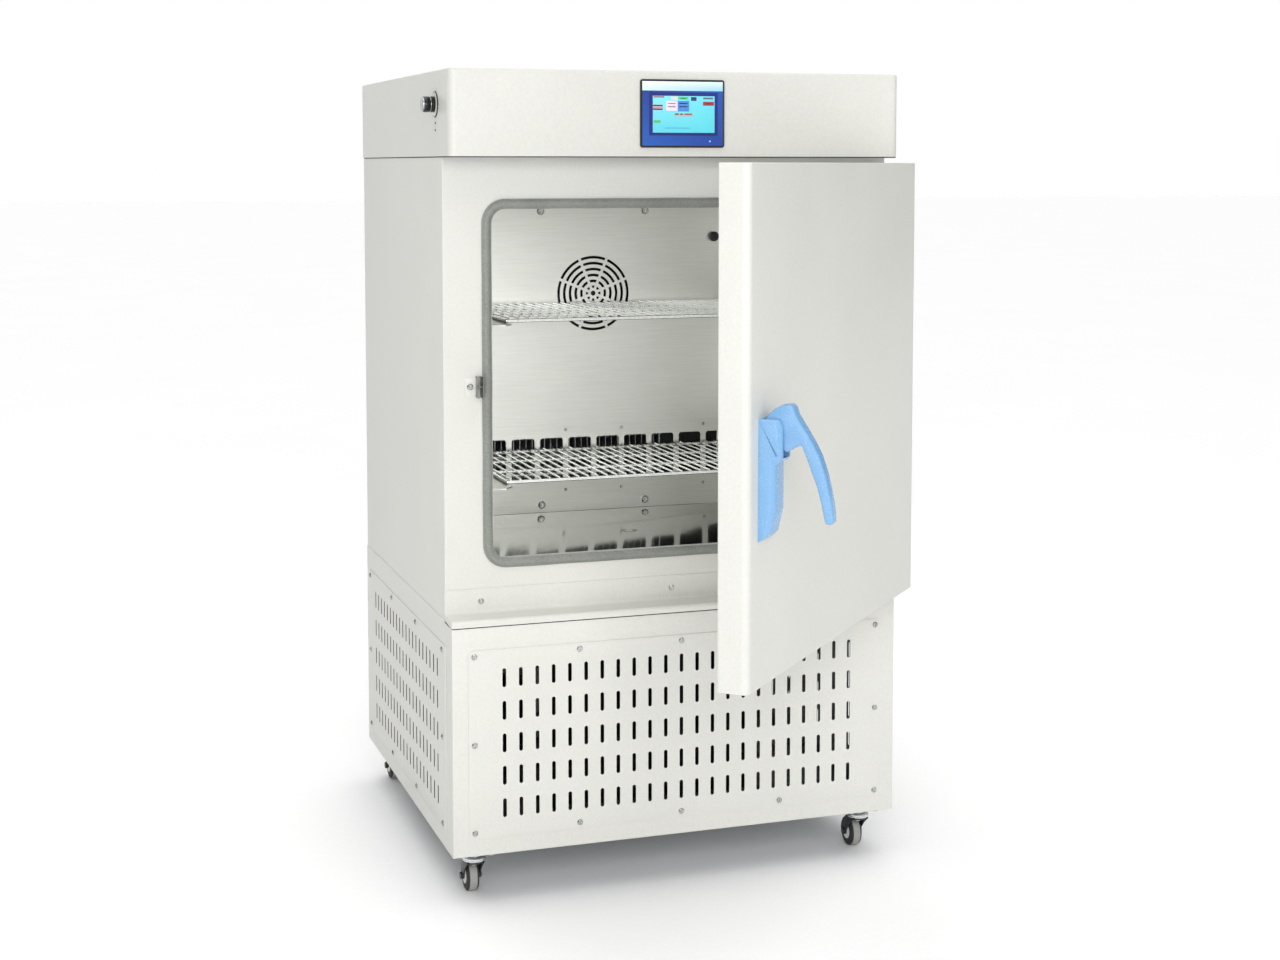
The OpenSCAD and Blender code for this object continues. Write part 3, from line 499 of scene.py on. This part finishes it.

# %% [markdown]
# ## Slotted vent panels
# The panels are punched and then screwed over the openings of the base. Punching rolls
# the upper edge of the sheet over a little, so each panel's outline is eased. The slots
# keep their square inner walls, coloured nearly black as a painted shade, so they read as
# dark lines.

# %% Slotted vent panels
# Painted shade for the slots' inner walls: nearly black, for the shadow inside each slot.
slot_shade = surface("painted_shade_slot_walls", "34352F", "232421", 0.6, 0.4, size=1.2)
margin = 20 * MM  # no slot comes nearer than this to a panel's outline


def panel_outline(a, b):
    """Whether an edge lies on the outline of the panel that is being folded."""
    level = near(a.z, b.z) and (near(a.z, low.z) or near(a.z, high.z))
    upright = near(a.x, b.x) and near(a.y, b.y) and abs(a.z - b.z) > 100 * MM
    return level or upright


def slot_wall(normal, at):
    """Whether a face is a slot's wall: square to the sheet, and away from the outline."""
    if not low.z + margin < at.z < high.z - margin:
        return False
    if node == "side_vent_panels":
        return abs(normal.x) < 0.3 and low.y + margin < at.y < high.y - margin
    return abs(normal.y) < 0.3 and abs(at.x) < high.x - margin


for node in ("front_vent_panel", "side_vent_panels", "rear_panel"):
    low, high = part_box(node)
    folded(node, 0.6, panel_outline, segments=2, walls=slot_wall, wall_shade=slot_shade)

# %% [markdown]
# ## Door skin
# The door is a shallow pan of sheet steel, filled with foam. Its two upright outer edges
# are rolled to a wide radius, while the top and bottom are folded tight. The exact solid
# has the wide radius, so only the tight folds are added.

# %% Door skin
door_low, door_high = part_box("door_skin")
folded("door_skin", 1.6, lambda a, b: near(a.z, b.z) and (
       near(a.z, door_low.z) or near(a.z, door_high.z)), body="door")
folded("door_liner", 1.0, lambda a, b: abs(a.z - b.z) > 500 * MM
       or (near(a.z, b.z) and (near(a.z, door_low.z) or near(a.z, door_high.z))),
       segments=2, body="door")

# %% [markdown]
# ## Door seal
# A silicone tube seal, pushed into a channel round the chamber's mouth. It is one length
# bent round four corners. A profile ring is made once, then drawn straight along each
# side and spun a quarter turn at each corner, as the real one is laid in. The last ring
# meets the first, and the seam is merged.

# %% Profile ring
seal_low, seal_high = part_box("door_gasket")
seal_width, seal_bend, lip, bulb_half = 16 * MM, 30 * MM, 2.2 * MM, 6.2 * MM
half_x = (seal_high.x - seal_low.x - seal_width) / 2
half_z = (seal_high.z - seal_low.z - seal_width) / 2
mid_x, mid_z = (seal_low.x + seal_high.x) / 2, (seal_low.z + seal_high.z) / 2
bm = bmesh.new()
ring = bmesh.ops.create_circle(bm, segments=20, radius=seal_width / 2)["verts"]
for v in ring:  # a lip on each side of a round bulb, flat at the back
    bulb = max(0.0, 1 - (abs(v.co.x) / bulb_half) ** 2) ** 0.5
    v.co.y = (seal_high.y if v.co.y > 0 else
              seal_high.y - lip - bulb * (seal_high.y - seal_low.y - lip))
bmesh.ops.translate(bm, vec=(mid_x - half_x, 0, mid_z - half_z + seal_bend), verts=ring)
loop = list({e for v in ring for e in v.link_edges})
print("profile ring of", len(ring), "points,", round(seal_width / MM), "mm wide")

# %% Seal drawn round the mouth
across, up = 2 * (half_x - seal_bend), 2 * (half_z - seal_bend)
steps_along, steps_round = 12, 10
corners = [(-1, 1), (1, 1), (1, -1), (-1, -1)]
for (sx, sz), run in zip(corners, ((0, 0, up), (across, 0, 0), (0, 0, -up), (-across, 0, 0))):
    for step in range(steps_along):
        drawn = bmesh.ops.extrude_edge_only(bm, edges=loop)["geom"]
        bmesh.ops.translate(bm, vec=[c / steps_along for c in run],
                            verts=[g for g in drawn if isinstance(g, bmesh.types.BMVert)])
        loop = [g for g in drawn if isinstance(g, bmesh.types.BMEdge)
                and len(g.link_faces) == 1 and g not in loop]
        loop = [e for e in loop if all(v in drawn for v in e.verts)]
    centre = (mid_x + sx * (half_x - seal_bend), 0, mid_z + sz * (half_z - seal_bend))
    bent = bmesh.ops.spin(bm, geom=loop + list({v for e in loop for v in e.verts}),
                          cent=centre, axis=(0, 1, 0), dvec=(0, 0, 0),
                          angle=math.radians(90), steps=steps_round, use_merge=False)
    loop = [g for g in bent["geom_last"] if isinstance(g, bmesh.types.BMEdge)]
for v in bm.verts:  # laid in by hand, so it wanders by a fraction of a millimetre
    wander = 0.35 * MM * math.sin(v.co.x * 61 + v.co.z * 47)
    if v.co.y < seal_high.y - 1 * MM:
        v.co.x += wander
        v.co.z += wander * 0.6
piece("door_seal", bm, "cabinet", [seal_rubber], ("door_gasket",), crease=60)

# %% [markdown]
# ## Chamber
# The chamber is an open stainless box with small welded radii. Its floor is cross-broken:
# two diagonal creases let it drain to the middle and stop it booming. A cube loses its
# front face, its long edges are rounded, and the floor face is poked, so that its centre
# can sink to the drain. The faces look inwards while it is shaped, and the sheet then gets
# its thickness on the far side.

# %% Chamber finishes
# Polished floor sheet: it mirrors the shelves above it, smeared a little from front to back.
mirror_steel = surface("polished_floor_sheet", "CDCEC9", "BFC1BC", 0.08, 1.0,
                       grain=(1, 0.03, 1), size=2, clouds=90, swing=0.03)
# The back wall, behind the fan panel, is unpolished. Its dark grey is a painted shade, as it lies
# in shadow.
back_wall_shade = surface("duct_wall_painted_shade", "4A4B4A", "3A3B3A", 0.55, 1.0, size=3, clouds=80)
print("made", mirror_steel.name, "and", back_wall_shade.name)

# %% Chamber
room_low, room_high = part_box("chamber_liner")
drain_low, drain_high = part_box("chamber_drain")
drain = (drain_low + drain_high) / 2
wall, floor_rise, weld_radius = 1.5 * MM, 3.5 * MM, 9
floor_z = room_low.z + wall
bm = bmesh.new()
block(bm, (room_low.x + wall, room_low.y, floor_z + floor_rise),
      (room_high.x - wall, room_high.y - wall, room_high.z - wall))
front = [f for f in bm.faces if f.normal.y < -0.9]
bmesh.ops.delete(bm, geom=front, context="FACES_ONLY")
soften(bm, [e for e in bm.edges if len(e.link_faces) == 2], weld_radius, 4)
base = max((f for f in bm.faces if f.normal.z < -0.9), key=lambda f: f.calc_area())
middle = bmesh.ops.poke(bm, faces=[base])["verts"][0]
middle.co = (drain.x, drain.y, floor_z + 1 * MM)
bmesh.ops.recalc_face_normals(bm, faces=bm.faces)
if middle.link_faces[0].normal.z < 0:  # the floor has to face up, into the room
    bmesh.ops.reverse_faces(bm, faces=bm.faces)
# Faces round the drain take the polished floor, and the back wall takes the painted shade.
for f in bm.faces:
    f.material_index = 1 if middle in f.verts else 2 if abs(f.normal.y) > 0.9 else 0
bmesh.ops.solidify(bm, geom=bm.faces[:], thickness=1.3 * MM)
piece("chamber_room", bm, "cabinet", [chamber_steel, mirror_steel, back_wall_shade],
      ("chamber_liner",), crease=12, turn=False)

# %% [markdown]
# ## Probe port
# A black plastic port screws into the fan panel, and the sensor rod leaves it sideways, in
# a thin brown sleeve. Both are turned on a lathe, so a half profile spun a full turn gives
# the whole shape. The same helper serves the switch, the castors and the striker's pin.

# %% Turned parts
def turned(bm, profile, centre, axis="Z", steps=40):
    """Spins a half profile of (along, radius) pairs, in mm, about an axis through centre."""
    chain = [bm.verts.new((r * MM, 0, along * MM)) for along, r in profile]
    edges = [bm.edges.new(pair) for pair in zip(chain, chain[1:])]
    known = set(bm.verts) - set(chain)
    bmesh.ops.spin(bm, geom=chain + edges, cent=(0, 0, 0), axis=(0, 0, 1),
                   dvec=(0, 0, 0), angle=math.tau, steps=steps, use_merge=True)
    made = [v for v in bm.verts if v not in known]
    bmesh.ops.remove_doubles(bm, verts=made, dist=0.005 * MM)
    made = [v for v in bm.verts if v not in known]
    turn = {"Z": Matrix.Identity(3), "X": Matrix.Rotation(math.radians(90), 3, "Y"),
            "Y": Matrix.Rotation(math.radians(-90), 3, "X")}[axis]
    bmesh.ops.rotate(bm, cent=(0, 0, 0), matrix=turn, verts=made)
    bmesh.ops.translate(bm, vec=centre, verts=made)
    return made


print("lathe helper ready")

# %% Probe port
probe_low, probe_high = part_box("temperature_probe")
port_radius = 9 * MM
port_x, port_z = probe_low.x + port_radius, probe_low.z + port_radius
bm = bmesh.new()
turned(bm, [(22, 0), (22, 6), (8, 6), (8, 8.6), (7, 9), (1.2, 9), (0.4, 8.4), (0, 7.6),
            (0, 4.4), (1, 3.6), (1, 0)], (port_x, probe_low.y, port_z), "Y")
piece("probe_port", bm, "cabinet", [black_abs], ("temperature_probe",))
# Woven glass sleeve, drawn over the rod: brown, matt, streaked along its length.
sleeve = surface("brown_glass_sleeve", "7A4A30", "5E3622", 0.5, grain=(1, 0.2, 0.2), size=2)
rod = (probe_high.x - port_x) / MM
bm = bmesh.new()
turned(bm, [(0, 0), (0, 2.2), (0.4, 2.5), (40, 2.5), (41, 3.1), (46, 3.1), (47, 2.4),
            (rod, 2.4), (rod, 0)],
       (port_x, probe_low.y + 4 * MM, port_z), "X", 20)
piece("probe_sleeve", bm, "cabinet", [sleeve])

# %% [markdown]
# ## Handle
# The handle is moulded in blue ABS: a tall base screwed to the door, a slot in its head,
# and a lever that comes out of the slot and bends down in an arc. Both are modelled on the
# shut door, from a side view drawn as stand-off and height, pulled out to their width and
# rounded. A boolean cuts the slot while the base is still a plain object, and the result
# goes back into a bmesh. Then both turn about the hinge line to where the door rests.

# %% The shut door as a drawing board
hinge = Vector(joints["door_hinge"]["pos_m"])
ajar = math.radians(-joints["door_hinge"]["range_deg"][0])
open_turn = Matrix.Rotation(ajar, 3, "Z")
pivot_rest = Vector(joints["lever_pivot"]["pos_m"])
pivot = hinge + open_turn.inverted() @ (pivot_rest - hinge)
face_y = pivot.y + 14 * MM  # the door's face; the lever's pin stands 14 mm off it
print("lever pivot on the shut door", [round(c, 4) for c in pivot])


def side_view(bm, outline, width):
    """A closed side view of (stand-off, height above the pivot) in mm, given its width."""
    corners = [bm.verts.new((pivot.x - width / 2 * MM, face_y - s * MM, pivot.z + h * MM))
               for s, h in outline]
    side = bm.faces.new(corners)
    pulled = bmesh.ops.extrude_face_region(bm, geom=[side])["geom"]
    bmesh.ops.translate(bm, vec=(width * MM, 0, 0),
                        verts=[g for g in pulled if isinstance(g, bmesh.types.BMVert)])
    bmesh.ops.recalc_face_normals(bm, faces=bm.faces)


def open_door(bm):
    """Turns pieces drawn on the shut door to the door's place at rest."""
    bmesh.ops.rotate(bm, cent=hinge, matrix=open_turn, verts=bm.verts)


def rim(bm, width, reach=0.0):
    """Edges of a side view's two flat sides that stand further than reach off the door."""
    return [e for e in bm.edges if near(e.verts[0].co.x, e.verts[1].co.x, 0.01)
            and near(abs(e.verts[0].co.x - pivot.x), width / 2 * MM, 0.01)
            and min(face_y - v.co.y for v in e.verts) > reach * MM]


# %% Handle base before its slot
bm = bmesh.new()
side_view(bm, [(0, -156), (15.7, -143), (22.5, -111), (22.5, -50), (31.5, -43), (32, -40),
               (32, -2), (27.5, 9), (24, 10), (0, 10)], 44)
soften(bm, rim(bm, 44, 12), 6.5, 1)
soften(bm, [e for e in bm.edges if e.calc_face_angle(0) > math.radians(30)
            and min(face_y - v.co.y for v in e.verts) > 1 * MM], 1.2, 2)
bmesh.ops.recalc_face_normals(bm, faces=bm.faces)
print("blank with", len(bm.faces), "faces")


# %% Cut the slot
def part_of(bm, name):
    """A plain object from a bmesh, used only while cutting."""
    bmesh.ops.triangulate(bm, faces=[f for f in bm.faces if len(f.verts) > 4])
    made = bpy.data.objects.new(name, bpy.data.meshes.new(name))
    bm.to_mesh(made.data)
    bm.free()
    bpy.context.scene.collection.objects.link(made)
    return made


blank = part_of(bm, "handle_blank")
bm = bmesh.new()
side_view(bm, [(45, 30), (2, 30), (2, -13), (14.5, -14), (14.5, -42), (45, -42)], 24)
cutter = part_of(bm, "slot_cutter")
cut = blank.modifiers.new("slot", "BOOLEAN")
cut.operation, cut.solver, cut.object = "DIFFERENCE", "EXACT", cutter
bpy.context.view_layer.update()
slotted = blank.evaluated_get(bpy.context.evaluated_depsgraph_get()).to_mesh()
bm = bmesh.new()
bm.from_mesh(slotted)
if len(bm.faces) < 20:
    raise ValueError("the slot cut away the whole handle base")
for helper in (blank, cutter):
    bpy.data.objects.remove(helper)
bmesh.ops.remove_doubles(bm, verts=bm.verts, dist=0.02 * MM)
bmesh.ops.dissolve_degenerate(bm, edges=bm.edges, dist=0.02 * MM)
open_door(bm)
piece("handle_base_moulding", bm, "door", [blue_abs], ("handle_base",),
      crease=22, turn=False)

# %% Lever
bm = bmesh.new()
side_view(bm, [(5, -7), (3, 2), (7, 12), (16, 22), (28, 29), (40, 30.5), (44.5, 27),
               (48.2, 16), (59.6, -1), (71.8, -20), (80.8, -37), (89.6, -62),
               (94.1, -81), (98.2, -99), (100.6, -120), (100, -124.5), (96.5, -127.5),
               (90.5, -126.8), (88.3, -123), (84, -101), (77.5, -77), (69.5, -57),
               (63, -40), (56.5, -24), (50, -25), (34.5, -34), (29, -31), (24, -12), (19, -8),
               (12, -9.5)], 22)
for v in bm.verts:  # the lever narrows towards its end
    along = min(1.0, max(0.0, (pivot.z + 10 * MM - v.co.z) / (130 * MM)))
    v.co.x = pivot.x + (v.co.x - pivot.x) * (1 - 0.16 * along)
lever_rim = [e for e in bm.edges if abs(e.verts[0].co.x - pivot.x) > 8 * MM
             and (e.verts[0].co.x > pivot.x) == (e.verts[1].co.x > pivot.x)]
soften(bm, lever_rim, 3.4, 3)
open_door(bm)
piece("lever_moulding", bm, "lever", [blue_abs], ("lever",), crease=28)

# %% [markdown]
# ## Touch display
# A black housing with a thin rim holds printed glass: a pale header strip, a blue surround
# and a lit liquid-crystal page. The page is made generic, with plain coloured fields and
# bars in place of words. Each field is a thin closed slab, sunk a little into the one
# below, whose corners carry a colour attribute, shown by the printed glass and the lit page.

# %% Display housing
bezel_low, bezel_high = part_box("display_bezel")
glass_low, glass_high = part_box("display_screen")
bm = bmesh.new()
block(bm, (bezel_low.x, bezel_low.y, bezel_low.z),
      (bezel_high.x, bezel_low.y + 3.4 * MM, bezel_high.z))
soften(bm, [e for e in bm.edges if near(e.verts[0].co.x, e.verts[1].co.x, 0.01)
            and near(e.verts[0].co.z, e.verts[1].co.z, 0.01)], 4, 4)
front_face = max((f for f in bm.faces if f.normal.y < -0.9), key=lambda f: f.calc_area())
bmesh.ops.inset_region(bm, faces=[front_face], thickness=0.6 * MM, depth=0.0)
bmesh.ops.inset_region(bm, faces=[front_face], thickness=2.2 * MM, depth=0.0)
bmesh.ops.inset_region(bm, faces=[front_face], thickness=0.5 * MM, depth=-0.9 * MM)
soften(bm, [e for e in bm.edges if near(e.verts[0].co.y, bezel_low.y, 0.01)
            and near(e.verts[1].co.y, bezel_low.y, 0.01)
            and e.calc_face_angle(0) > math.radians(60)], 0.5, 2)
block(bm, (bezel_low.x + 6.5 * MM, bezel_low.y + 2.4 * MM, bezel_low.z + 5.5 * MM),
      (bezel_high.x - 6.5 * MM, bezel_high.y, bezel_high.z - 5.5 * MM))
piece("display_housing", bm, "cabinet", [black_abs], ("display_bezel",))

# %% Coloured slabs
centre_x, centre_z = (glass_low.x + glass_high.x) / 2, (glass_low.z + glass_high.z) / 2
layer = 0.12 * MM  # how far each level stands out from the one below
bm = bmesh.new()
shade = bm.loops.layers.float_color.new("page_tone")


def field(left, right, low, high, level, tones, lit=0):
    """A coloured slab between limits in mm, tones at low left, low right, high left, high right."""
    front = glass_low.y + (1 - level) * layer
    back = glass_low.y + ((0.14 + 0.02 * level) if level else 0.6) * MM
    made = block(bm, (centre_x + left * MM, front, centre_z + low * MM),
                 (centre_x + right * MM, back, centre_z + high * MM))
    middle = sum((v.co for v in made), Vector()) / len(made)
    for loop in {loop for v in made for loop in v.link_loops}:
        corner = (loop.vert.co.z > middle.z) * 2 + (loop.vert.co.x > middle.x)
        loop[shade] = tone(tones[corner] if len(tones) > 1 else tones[0])
        loop.face.material_index = lit


# %% Page layout
# surround, header, foot, dark frame, page, and then what stands on the page
field(-67.4, 67.4, -50.4, 50.4, 0, ["2B5FB8", "24489E", "27408F", "2A5CB5"])
field(-67.4, 67.4, 35.8, 50.4, 1, ["CFEAFB", "9CD3F5", "F6FBFE", "DDF1FC"])
field(-67.4, 67.4, -50.4, -37.0, 1, ["2C60B8", "2547A0", "2A5AB0", "24459C"])
field(-56, 59, -34.5, 33, 1, ["232F7C", "1F2A70", "232F7C", "243480"])
field(-50, 53.6, -30, 27.7, 2, ["62C9DD", "57CDDA", "86DDEA", "6FD3E5"], 1)
page = [(-49, -31, 24.8, 27.2, "8C6C88"), (-19.5, -8.5, 21.5, 26.8, "D9D3CF"),
        (-8, 9.5, 21.8, 26.6, "5FCB7C"), (-4, 6, 23.6, 24.8, "2F8A55"),
        (13.8, 23, 20.2, 26.2, "33406E"), (34.5, 51, 23, 25.6, "5C6B70"),
        (34, 52.6, 12.8, 19, "A33A40"), (38, 47.5, 15, 16.8, "EBC4C2"),
        (-28, -9, 4.5, 20, "E4D3E0"), (-25, -12, 10, 11.4, "B8A3B5"),
        (-25, -12, 15.2, 16.4, "B8A3B5"), (-8.4, 10.6, 3.4, 20, "4D86CE"),
        (-6, 8, 10.2, 11.6, "3A63AE"), (-6, 8, 15.4, 16.8, "3A63AE"),
        (-49.8, -33.5, 11.2, 13.6, "8B2430"), (-49.8, -33.5, 8.2, 10.6, "D98C8C"),
        (-49.8, -33.5, 5.4, 7.8, "8B2430"), (-13.5, -6.5, -2.4, 0.4, "8A5648"),
        (-5, 0.5, -2.4, 0.4, "94523F"), (2.5, 16, -2.4, 0.4, "A65A50"),
        (-13, 16, -5.6, -3.6, "9FB9CC"), (-48.6, -37, -14.8, -10.6, "5DB868"),
        (-30, 12, -23.4, -22, "4FA9C4")]
for left, right, low, high, colour in page:
    field(left, right, low, high, 3, [colour], 1)
field(44.6, 47, -44.6, -42.2, 3, ["8FC9FF"], 1)
print(len(page), "fields on the page")


# %% Printed and lit glass
def display_finish(name, glow):
    """Glass over a colour attribute; glow is the light that the page gives off.

    The recipe gives the gloss, and its colour gives way to the printed one. The grain of
    the print, really 0.1 mm, is drawn at 1.1 mm."""
    made = surface(name, "202020", "202020", 0.16, size=1.2, swing=0.03)
    tree = made.node_tree
    shader = tree.nodes["Principled BSDF"]
    colour = add(tree, "ShaderNodeAttribute", attribute_name="page_tone").outputs["Color"]
    dots = add(tree, "ShaderNodeTexNoise", {"Scale": 1 / (1.1 * MM), "Detail": 1.0,
               "Vector": add(tree, "ShaderNodeTexCoord").outputs["Object"]})
    print_grain = add(tree, "ShaderNodeMix", {0: 0.22, 6: colour, 7: dots.outputs["Color"]},
                      data_type="RGBA", blend_type="SOFT_LIGHT")
    tree.links.new(print_grain.outputs[2], shader.inputs["Base Color"])
    tree.links.new(print_grain.outputs[2], shader.inputs["Emission Color"])
    shader.inputs["Emission Strength"].default_value = glow
    return made


piece("display_page", bm, "cabinet", [display_finish("printed_display_glass", 0.0),
      display_finish("lit_crystal_page", 0.12)], ("display_screen",),
      turn=False)

# %% [markdown]
# ## Rotary switch
# A rotary switch stands on the hood's left side: a black escutcheon with a painted face, a
# black body with a bright ring let into it, and a knob with a satin cap. All are turned
# parts, and shallow flutes for the fingers are then pressed into the knob's side.

# %% Fixed parts of the switch
# Moulded nylon, polished: deep black with small clear highlights.
gloss_black = surface("polished_black_nylon", "0C0D0E", "060707", 0.2, size=2, peel=0.004)
knob_axis = Vector(joints["switch_turn"]["pos_m"])
switch_at = (hood_low.x, knob_axis.y, knob_axis.z)


def outwards(profile):
    """Turns distances out from the hood's left side into places along X."""
    return [(-along, r) for along, r in profile]


def switch_part(name, profile, finish, stands_for=()):
    """A turned part that stays still; its profile runs out from the hood's side."""
    bm = bmesh.new()
    turned(bm, outwards(profile), switch_at, "X", 56)
    piece(name, bm, "cabinet", [finish], stands_for)


switch_part("switch_escutcheon", [(0, 0), (0, 20.5), (0.5, 21), (1.1, 20.6), (1.5, 19.6),
            (1.5, 0)], gloss_black)
switch_part("switch_face_ring", [(1.4, 12), (1.4, 19), (1.9, 18.6), (2.0, 12), (1.4, 12)],
            powder_coat)
switch_part("switch_body", [(1.5, 0), (1.5, 12.3), (2, 12.5), (7.6, 12.5), (8.1, 12.1),
            (8.1, 11.2), (9.3, 11.2), (9.3, 11.8), (9.8, 12.1), (11.6, 12.1), (12, 11.6),
            (12, 0)], gloss_black, ("switch_collar",))
switch_part("switch_ring", [(8.2, 0), (8.2, 11.9), (8.4, 12.2), (9, 12.2), (9.2, 11.9),
            (9.2, 0)], chrome)

# %% Knob and its cap
bm = bmesh.new()
knob_verts = turned(bm, outwards([(12.4, 0), (12.4, 12.1), (12.8, 12.5), (18.4, 12.5),
                    (19, 12), (19, 0)]), switch_at, "X", 72)
flutes, flute_depth = 24, 0.3 * MM
for v in knob_verts:
    arm = Vector((0, v.co.y - knob_axis.y, v.co.z - knob_axis.z))
    if arm.length > 12.2 * MM:
        ripple = flute_depth * (1 + math.cos(flutes * math.atan2(arm.z, arm.y))) / 2
        v.co.y -= arm.y / arm.length * ripple
        v.co.z -= arm.z / arm.length * ripple
piece("switch_knob_grip", bm, "switch_knob", [gloss_black],
      ("switch_knob",))
bm = bmesh.new()
turned(bm, outwards([(19, 0), (19, 10.8), (20.6, 11), (21.4, 10.6), (21.9, 9.6), (22, 8),
                     (21.8, 7), (21.8, 0)]), switch_at, "X", 56)
block(bm, (switch_at[0] - 22 * MM, knob_axis.y - 0.9 * MM, knob_axis.z + 1.5 * MM),
      (switch_at[0] - 21 * MM, knob_axis.y + 0.9 * MM, knob_axis.z + 6.6 * MM))
piece("switch_cap", bm, "switch_knob", [nickel])

# %% [markdown]
# ## Castors
# Each castor has a pressed fork under a bright ball race, and a wheel with a grey tread
# between darker shoulders and a pale hub. The ring, wheel and hub are turned. The fork's
# two cheeks are cut from a side outline, and their rims are rounded over.

# %% Race and fork
def castor_fork(corner, swivel, axle):
    """A ball race and the fork that turns under it, about the places of their joints."""
    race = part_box("fork_" + corner)[1].z / MM
    at = (swivel.x, swivel.y, 0)
    bm = bmesh.new()
    turned(bm, [(race - 8, 0), (race - 8, 15), (race - 7.4, 17.6), (race - 6, 18.5),
                (race - 4.6, 18.4), (race - 4.2, 17.7), (race - 3.8, 18.3),
                (race - 2.2, 18.1), (race - 0.6, 16.6), (race, 14.5), (race, 0)],
           at, steps=48)
    piece("castor_race_" + corner, bm, "fork_" + corner, [chrome])
    bm = bmesh.new()
    turned(bm, [(race - 11, 0), (race - 11, 15.2), (race - 10, 16.4), (race - 8, 16.5),
                (race - 7.6, 15), (race - 7.6, 0)], at, steps=48)
    lean = (axle.y - swivel.y) / MM
    for side in (-1, 1):
        cheek = [(-14, race - 8.4), (15, race - 8.4), (lean + 6, 44), (lean + 5.4, 25),
                 (lean + 3, 20), (lean - 3, 20), (lean - 5.4, 25), (4, 43)]
        inner = swivel.x + side * 12.2 * MM
        face = bm.faces.new([bm.verts.new((inner, swivel.y + y * MM, z * MM))
                             for y, z in cheek])
        pulled = bmesh.ops.extrude_face_region(bm, geom=[face])["geom"]
        moved = [g for g in pulled if isinstance(g, bmesh.types.BMVert)]
        bmesh.ops.translate(bm, vec=(side * 2.4 * MM, 0, 0), verts=moved)
        outline = {e for v in list(moved) + list(face.verts) for e in v.link_edges}
        soften(bm, [e for e in outline if near(e.verts[0].co.x, e.verts[1].co.x, 0.01)],
               0.8, 2)
    for side in (-1, 1):
        turned(bm, [(-3, 0), (-3, 6), (0, 6.2), (2.6, 6.0), (3.6, 5), (4.0, 3), (4.0, 0)],
               (axle.x + side * 14 * MM, axle.y, axle.z), "X", 6)
    piece("castor_fork_" + corner, bm, "fork_" + corner, [fork_paint],
          ("fork_" + corner,), crease=30)


# %% Wheel
def castor_wheel(corner, axle):
    """A wheel's black body, grey tread and pale hub, turned about its axle."""
    bm = bmesh.new()
    turned(bm, [(-9.9, 4.3), (-9.9, 13.6), (-9.6, 15), (-9.9, 19), (-9.4, 22), (-8.2, 23.8),
                (-6.4, 24.4), (-5.9, 24.2), (5.9, 24.2), (6.4, 24.4), (8.2, 23.8),
                (9.4, 22), (9.9, 19), (9.6, 15), (9.9, 13.6), (9.9, 4.3), (-9.9, 4.3)],
           axle, "X", 64)
    piece("castor_tyre_" + corner, bm, "wheel_" + corner, [dark_rubber],
          ("wheel_" + corner,))
    bm = bmesh.new()
    turned(bm, [(-6, 23.6), (-6, 24.6), (-5.2, 25), (5.2, 25), (6, 24.6), (6, 23.6),
                (-6, 23.6)], axle, "X", 64)
    piece("castor_tread_" + corner, bm, "wheel_" + corner, [tyre_rubber])
    bm = bmesh.new()
    for side in (-1, 1):
        turned(bm, [(side * a, r) for a, r in ((9, 4.3), (9, 13), (10, 13.2), (10.5, 12.6),
               (10.3, 10.5), (10.1, 9), (10.6, 7), (10.6, 4.3), (9, 4.3))], axle, "X", 40)
    piece("castor_hub_" + corner, bm, "wheel_" + corner, [hub_nylon])


# %% Four castors
for corner in ("fl", "fr", "rl", "rr"):
    axle = Vector(joints["roll_" + corner]["pos_m"])
    castor_fork(corner, Vector(joints["swivel_" + corner]["pos_m"]), axle)
    castor_wheel(corner, axle)

# %% [markdown]
# ## Striker
# The latch hook drops over a pin held between two ears, which are folded from one plated
# strip. Only the ears and the pin are bare: the foot that is screwed to the frame is
# painted over with it. The ears' front corners are rounded wide, all the other edges are
# just broken, and the pin is turned.

# %% Striker
catch_low, catch_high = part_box("striker")
# Bright zinc on cut strip: streaked up and down, between a light and a dark grey.
bright_zinc = surface("bright_zinc_plate", "A5A7A4", "6C6E6B", 0.3, 1.0,
                      grain=(1, 1, 0.1), size=1.5, clouds=20)
bm = bmesh.new()
block(bm, (catch_low.x, catch_high.y - 1.6 * MM, catch_low.z + 3 * MM),
      (catch_high.x - 1 * MM, catch_high.y, catch_high.z - 3 * MM))
soften(bm, [e for e in bm.edges if min(v.co.y for v in e.verts) < catch_high.y - 1 * MM
            or abs(e.verts[0].co.y - e.verts[1].co.y) > 1 * MM], 0.7, 2)
piece("striker_foot", bm, "cabinet", [powder_coat], ("striker",))
bm = bmesh.new()
for ear_x in (catch_high.x - 8 * MM, catch_high.x - 1.6 * MM):
    block(bm, (ear_x, catch_low.y, catch_low.z), (ear_x + 1.6 * MM, catch_high.y,
          catch_high.z))
soften(bm, [e for e in bm.edges if near(e.verts[0].co.y, e.verts[1].co.y)
            and near(e.verts[0].co.z, e.verts[1].co.z)
            and e.verts[0].co.y < catch_low.y + 1 * MM], 5, 5)
soften(bm, [e for e in bm.edges if e.calc_face_angle(0) > 1
            and near(e.verts[0].co.x, e.verts[1].co.x)], 0.3, 1)
turned(bm, [(0, 0), (0, 2.1), (0.4, 2.5), (7.6, 2.5), (8, 2.1), (8, 0)],
       (catch_high.x - 8 * MM, (catch_low.y + catch_high.y) / 2 + 2 * MM,
        (catch_low.z + catch_high.z) / 2), "X", 24)
piece("striker_ears", bm, "cabinet", [bright_zinc])

# %% [markdown]
# ## Screws under the switch
# Two tiny dark screws in a line below the switch hold its contact block. Each is turned as
# one small ring-shaped head with a dished middle.

# %% Screws under the switch
bm = bmesh.new()
for drop in (29, 40):
    turned(bm, outwards([(0, 0), (0, 2.1), (0.3, 2.0), (0.5, 1.5), (0.1, 1.1), (0.1, 0)]),
           (switch_at[0], knob_axis.y, knob_axis.z - drop * MM), "X", 18)
piece("switch_screws", bm, "cabinet", [black_enamel])
